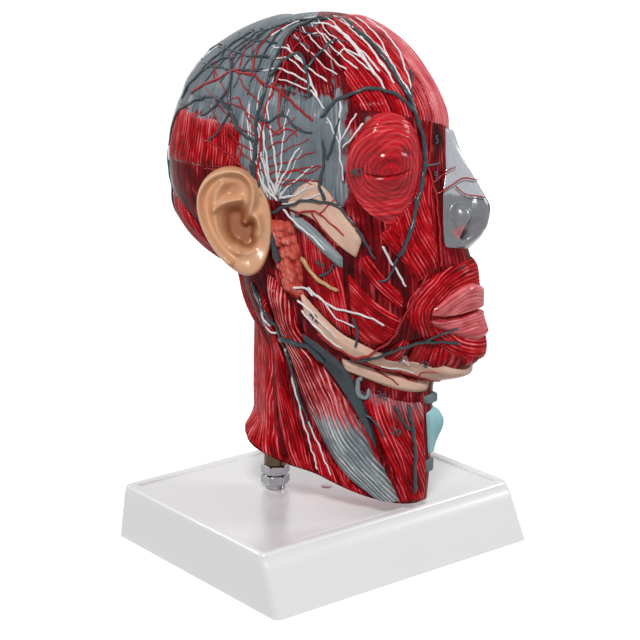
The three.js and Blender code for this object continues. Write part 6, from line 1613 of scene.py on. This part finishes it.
def stem_waists(flat, run, near):
    """Two narrow grooves across the stem, over and under its bulge."""
    return -MM * sum(np.exp(-((run - share) / 0.012) ** 2) for share in (0.3, 0.48))


def nose_ledges(flat, run, near):
    """Three ledges along the nose's side wall: sharp waves of the rise."""
    rise = (flat[..., 1] - NECK_TIP_HEIGHT) / HEAD_RISE
    ledge = np.abs(np.sin(math.pi * 3.2 * (rise - 0.55) / 0.15)) ** 0.7
    return 1.6 * MM * (ledge - 1) * fall(near, 4 * MM)


def disc_grooves(flat, run, near):
    """Grooves between the bones of the spine."""
    return -1.8 * MM * np.exp(-(np.sin(math.pi * 6.5 * run) / 0.3) ** 2)


def pipe_rings(flat, run, near):
    """Rings of the wind pipe below the voice box."""
    return 0.9 * MM * (np.abs(np.sin(math.pi * 9 * run)) ** 0.5 - 1) * smooth_step((run - 0.4) / 0.1)


def brain_paint(name, dark, light):
    """Varnished brain: light tissue, dark grooves and white branches by the piece's marks."""
    material, tree, shader = start_material(name, coat=0.2, coat_roughness=0.12, specular=0.25)
    tone = mix_colours(tree, noise(tree, 160.0, 4.0, 0.6), dark, light)
    groove = maths(tree, "MULTIPLY", mark_value(tree, "groove"), 0.85)
    tone = mix_colours(tree, groove, tone, darkened(dark, 0.4))
    tone = mix_colours(tree, mark_value(tree, "white"), tone, (0.86, 0.8, 0.72))
    grain = noise(tree, 1200.0)
    finish_paint(tree, shader, tone, vary(tree, grain, 0.25, 0.345), grain, 0.05 * MM)
    return material


brain_pink = brain_paint("varnished_brain", (0.6, 0.3, 0.22), (0.78, 0.48, 0.38))
white_matter = brain_paint("white_matter", (0.72, 0.62, 0.5), (0.86, 0.78, 0.68))
mucosa_pink = fibre_paint("varnished_mucosa", ((0.4, 0.1, 0.09), (0.68, 0.26, 0.23), (0.85, 0.5, 0.45)), 0.7,
                          0.08 * MM)
lay_organ("brain_half", "cerebrum", brain_pink, "brain_pink",
          (-0.46, 0.77, -0.45, 0.85, -0.36, 0.925, -0.2, 0.965, 0, 0.96, 0.18, 0.915, 0.3, 0.83,
           0.335, 0.75),
          (-0.46, 0.77, -0.4, 0.75, -0.34, 0.745, -0.3, 0.71, -0.22, 0.7, -0.13, 0.735, 0.02, 0.76,
           0.1, 0.735, 0.2, 0.725, 0.28, 0.71, 0.335, 0.75), shape=brain_folds, marks=brain_marks)
lay_organ("arched_body", "corpus_callosum", white_matter, "white_matter",
          (-0.23, 0.765, -0.25, 0.8, -0.2, 0.835, -0.08, 0.85, 0.06, 0.83, 0.11, 0.785),
          (-0.21, 0.785, -0.18, 0.81, -0.08, 0.822, 0.03, 0.805, 0.08, 0.775), 2.0)
lay_organ("brain_stem", "brainstem_and_cord", white_matter, "white_matter",
          (-0.12, 0.76, -0.07, 0.79, 0.01, 0.775, 0.03, 0.73, 0.035, 0.66, 0.015, 0.58,
           -0.055, 0.48, -0.085, 0.36, -0.095, 0.2),
          (-0.12, 0.76, -0.055, 0.71, -0.08, 0.67, -0.05, 0.63, -0.03, 0.57, -0.09, 0.48,
           -0.118, 0.36, -0.125, 0.2), 2.5, shape=stem_waists)
lay_organ("little_brain", "cerebellum", brain_pink, "brain_pink",
          (0.055, 0.68, 0.08, 0.705, 0.15, 0.71, 0.22, 0.7, 0.285, 0.655),
          (0.055, 0.65, 0.07, 0.6, 0.13, 0.575, 0.2, 0.58, 0.275, 0.63), shape=leaf_folds, marks=tree_marks)
lay_organ("nose_side_wall", "nasal_wall", mucosa_pink, "mucosa_pink",
          (-0.57, 0.56, -0.55, 0.63, -0.5, 0.69, -0.4, 0.705, -0.3, 0.67),
          (-0.55, 0.555, -0.44, 0.552, -0.36, 0.556, -0.3, 0.56, -0.28, 0.62), 2.2, 0.4, 91, nose_ledges)
lay_organ("mouth_roof", "palate", mucosa_pink, "mucosa_pink",
          (-0.61, 0.53, -0.5, 0.543, -0.4, 0.54, -0.3, 0.53, -0.255, 0.485),
          (-0.615, 0.495, -0.56, 0.512, -0.42, 0.517, -0.32, 0.505, -0.27, 0.475), 1.8, 0.4, 92)
lay_organ("tongue_half", "tongue", lip_pink, "lip_pink",
          (-0.58, 0.455, -0.54, 0.49, -0.44, 0.497, -0.34, 0.478, -0.28, 0.43),
          (-0.555, 0.41, -0.54, 0.36, -0.46, 0.335, -0.36, 0.34, -0.29, 0.37), 3.0, 1.4, 93)
lay_organ("spine", "vertebral_column", bone_tan, "bone_tan",
          (-0.12, 0.56, -0.1, 0.5, -0.135, 0.42, -0.14, 0.3, -0.145, 0.2),
          (-0.16, 0.56, -0.18, 0.5, -0.225, 0.42, -0.24, 0.3, -0.24, 0.19), 2.2, 0.2, 94, disc_grooves)
lay_organ("wind_pipe", "larynx_and_trachea", cartilage_blue, "cartilage_blue",
          (-0.36, 0.3, -0.33, 0.32, -0.3, 0.29, -0.3, 0.2, -0.31, 0.1, -0.33, 0.08),
          (-0.4, 0.285, -0.42, 0.275, -0.44, 0.24, -0.42, 0.2, -0.4, 0.14, -0.41, 0.06), 2.0, 0.0, 95,
          pipe_rings)


# Index numbers: small plain black figures printed on the paint. Each is set flat as type and
# then bent to the surface that it is printed on.
FIGURE_HEIGHT, FIGURE_LIFT = 5.2 * MM, 0.25 * MM
TYPE_SIZE, TYPE_BOLDNESS, TYPE_HALF_DEPTH, TYPE_STEPS = FIGURE_HEIGHT * 1.35, 0.12 * MM, 0.1 * MM, 4
FIGURES = (("40", 46.5, 62.6), ("9", 15, 60.4), ("5", 12.5, 66), ("44", 63, 47.6), ("42", 69, 38.4),
           ("11", 29, 38.9), ("12", 19, 39.4), ("30", 35, 26.4), ("73", 47, 24.6), ("29", 30, 18.4))
figure_black, tree, shader = start_material("printed_black", coat=0.2)
feed(tree, mix_colours(tree, noise(tree, 900.0), (0.008, 0.008, 0.01), (0.03, 0.03, 0.035)),
     shader.inputs["Base Color"])
shader.inputs["Roughness"].default_value = 0.4


def flat_figures(words):
    """The mesh of a line of figures: its points in a plane and its faces."""
    curve = bpy.data.curves.new("figures", "FONT")
    curve.body = words
    curve.size = TYPE_SIZE
    curve.offset = TYPE_BOLDNESS
    curve.extrude = TYPE_HALF_DEPTH
    curve.resolution_u = TYPE_STEPS
    holder = add_object("figures", curve)
    bpy.context.view_layer.update()
    mesh = bpy.data.meshes.new_from_object(holder)
    spots = np.zeros(len(mesh.vertices) * 3)
    mesh.vertices.foreach_get("co", spots)
    faces = [tuple(face.vertices)[::-1] for face in mesh.polygons]
    bpy.data.objects.remove(holder)
    bpy.data.curves.remove(curve)
    bpy.data.meshes.remove(mesh)
    return spots.reshape(-1, 3), faces


for words, around, up in FIGURES:
    spots, faces = flat_figures(words)
    corner = head_place(np.array([around, around - 2.0, around]), np.array([up, up, up + 1.0]))[0]
    per_around, per_up = np.linalg.norm(corner[1:] - corner[0], axis=-1) / (2, 1)
    here_around, here_up = around - spots[:, 0] / per_around, up + spots[:, 1] / per_up
    under = over_relief(np.linspace(here_around.min(), here_around.max(), 9), np.full(9, up + 0.8)).max()
    places, normals = head_place(here_around, here_up)
    mesh = bpy.data.meshes.new("figure_" + words)
    points = places + normals * (under + FIGURE_LIFT + spots[:, 2])[:, None]
    mesh.from_pydata(to_part(points).tolist(), [], faces)
    mesh.materials.append(figure_black)
    figure = add_object("printed_" + words, mesh)
    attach(figure, "head")
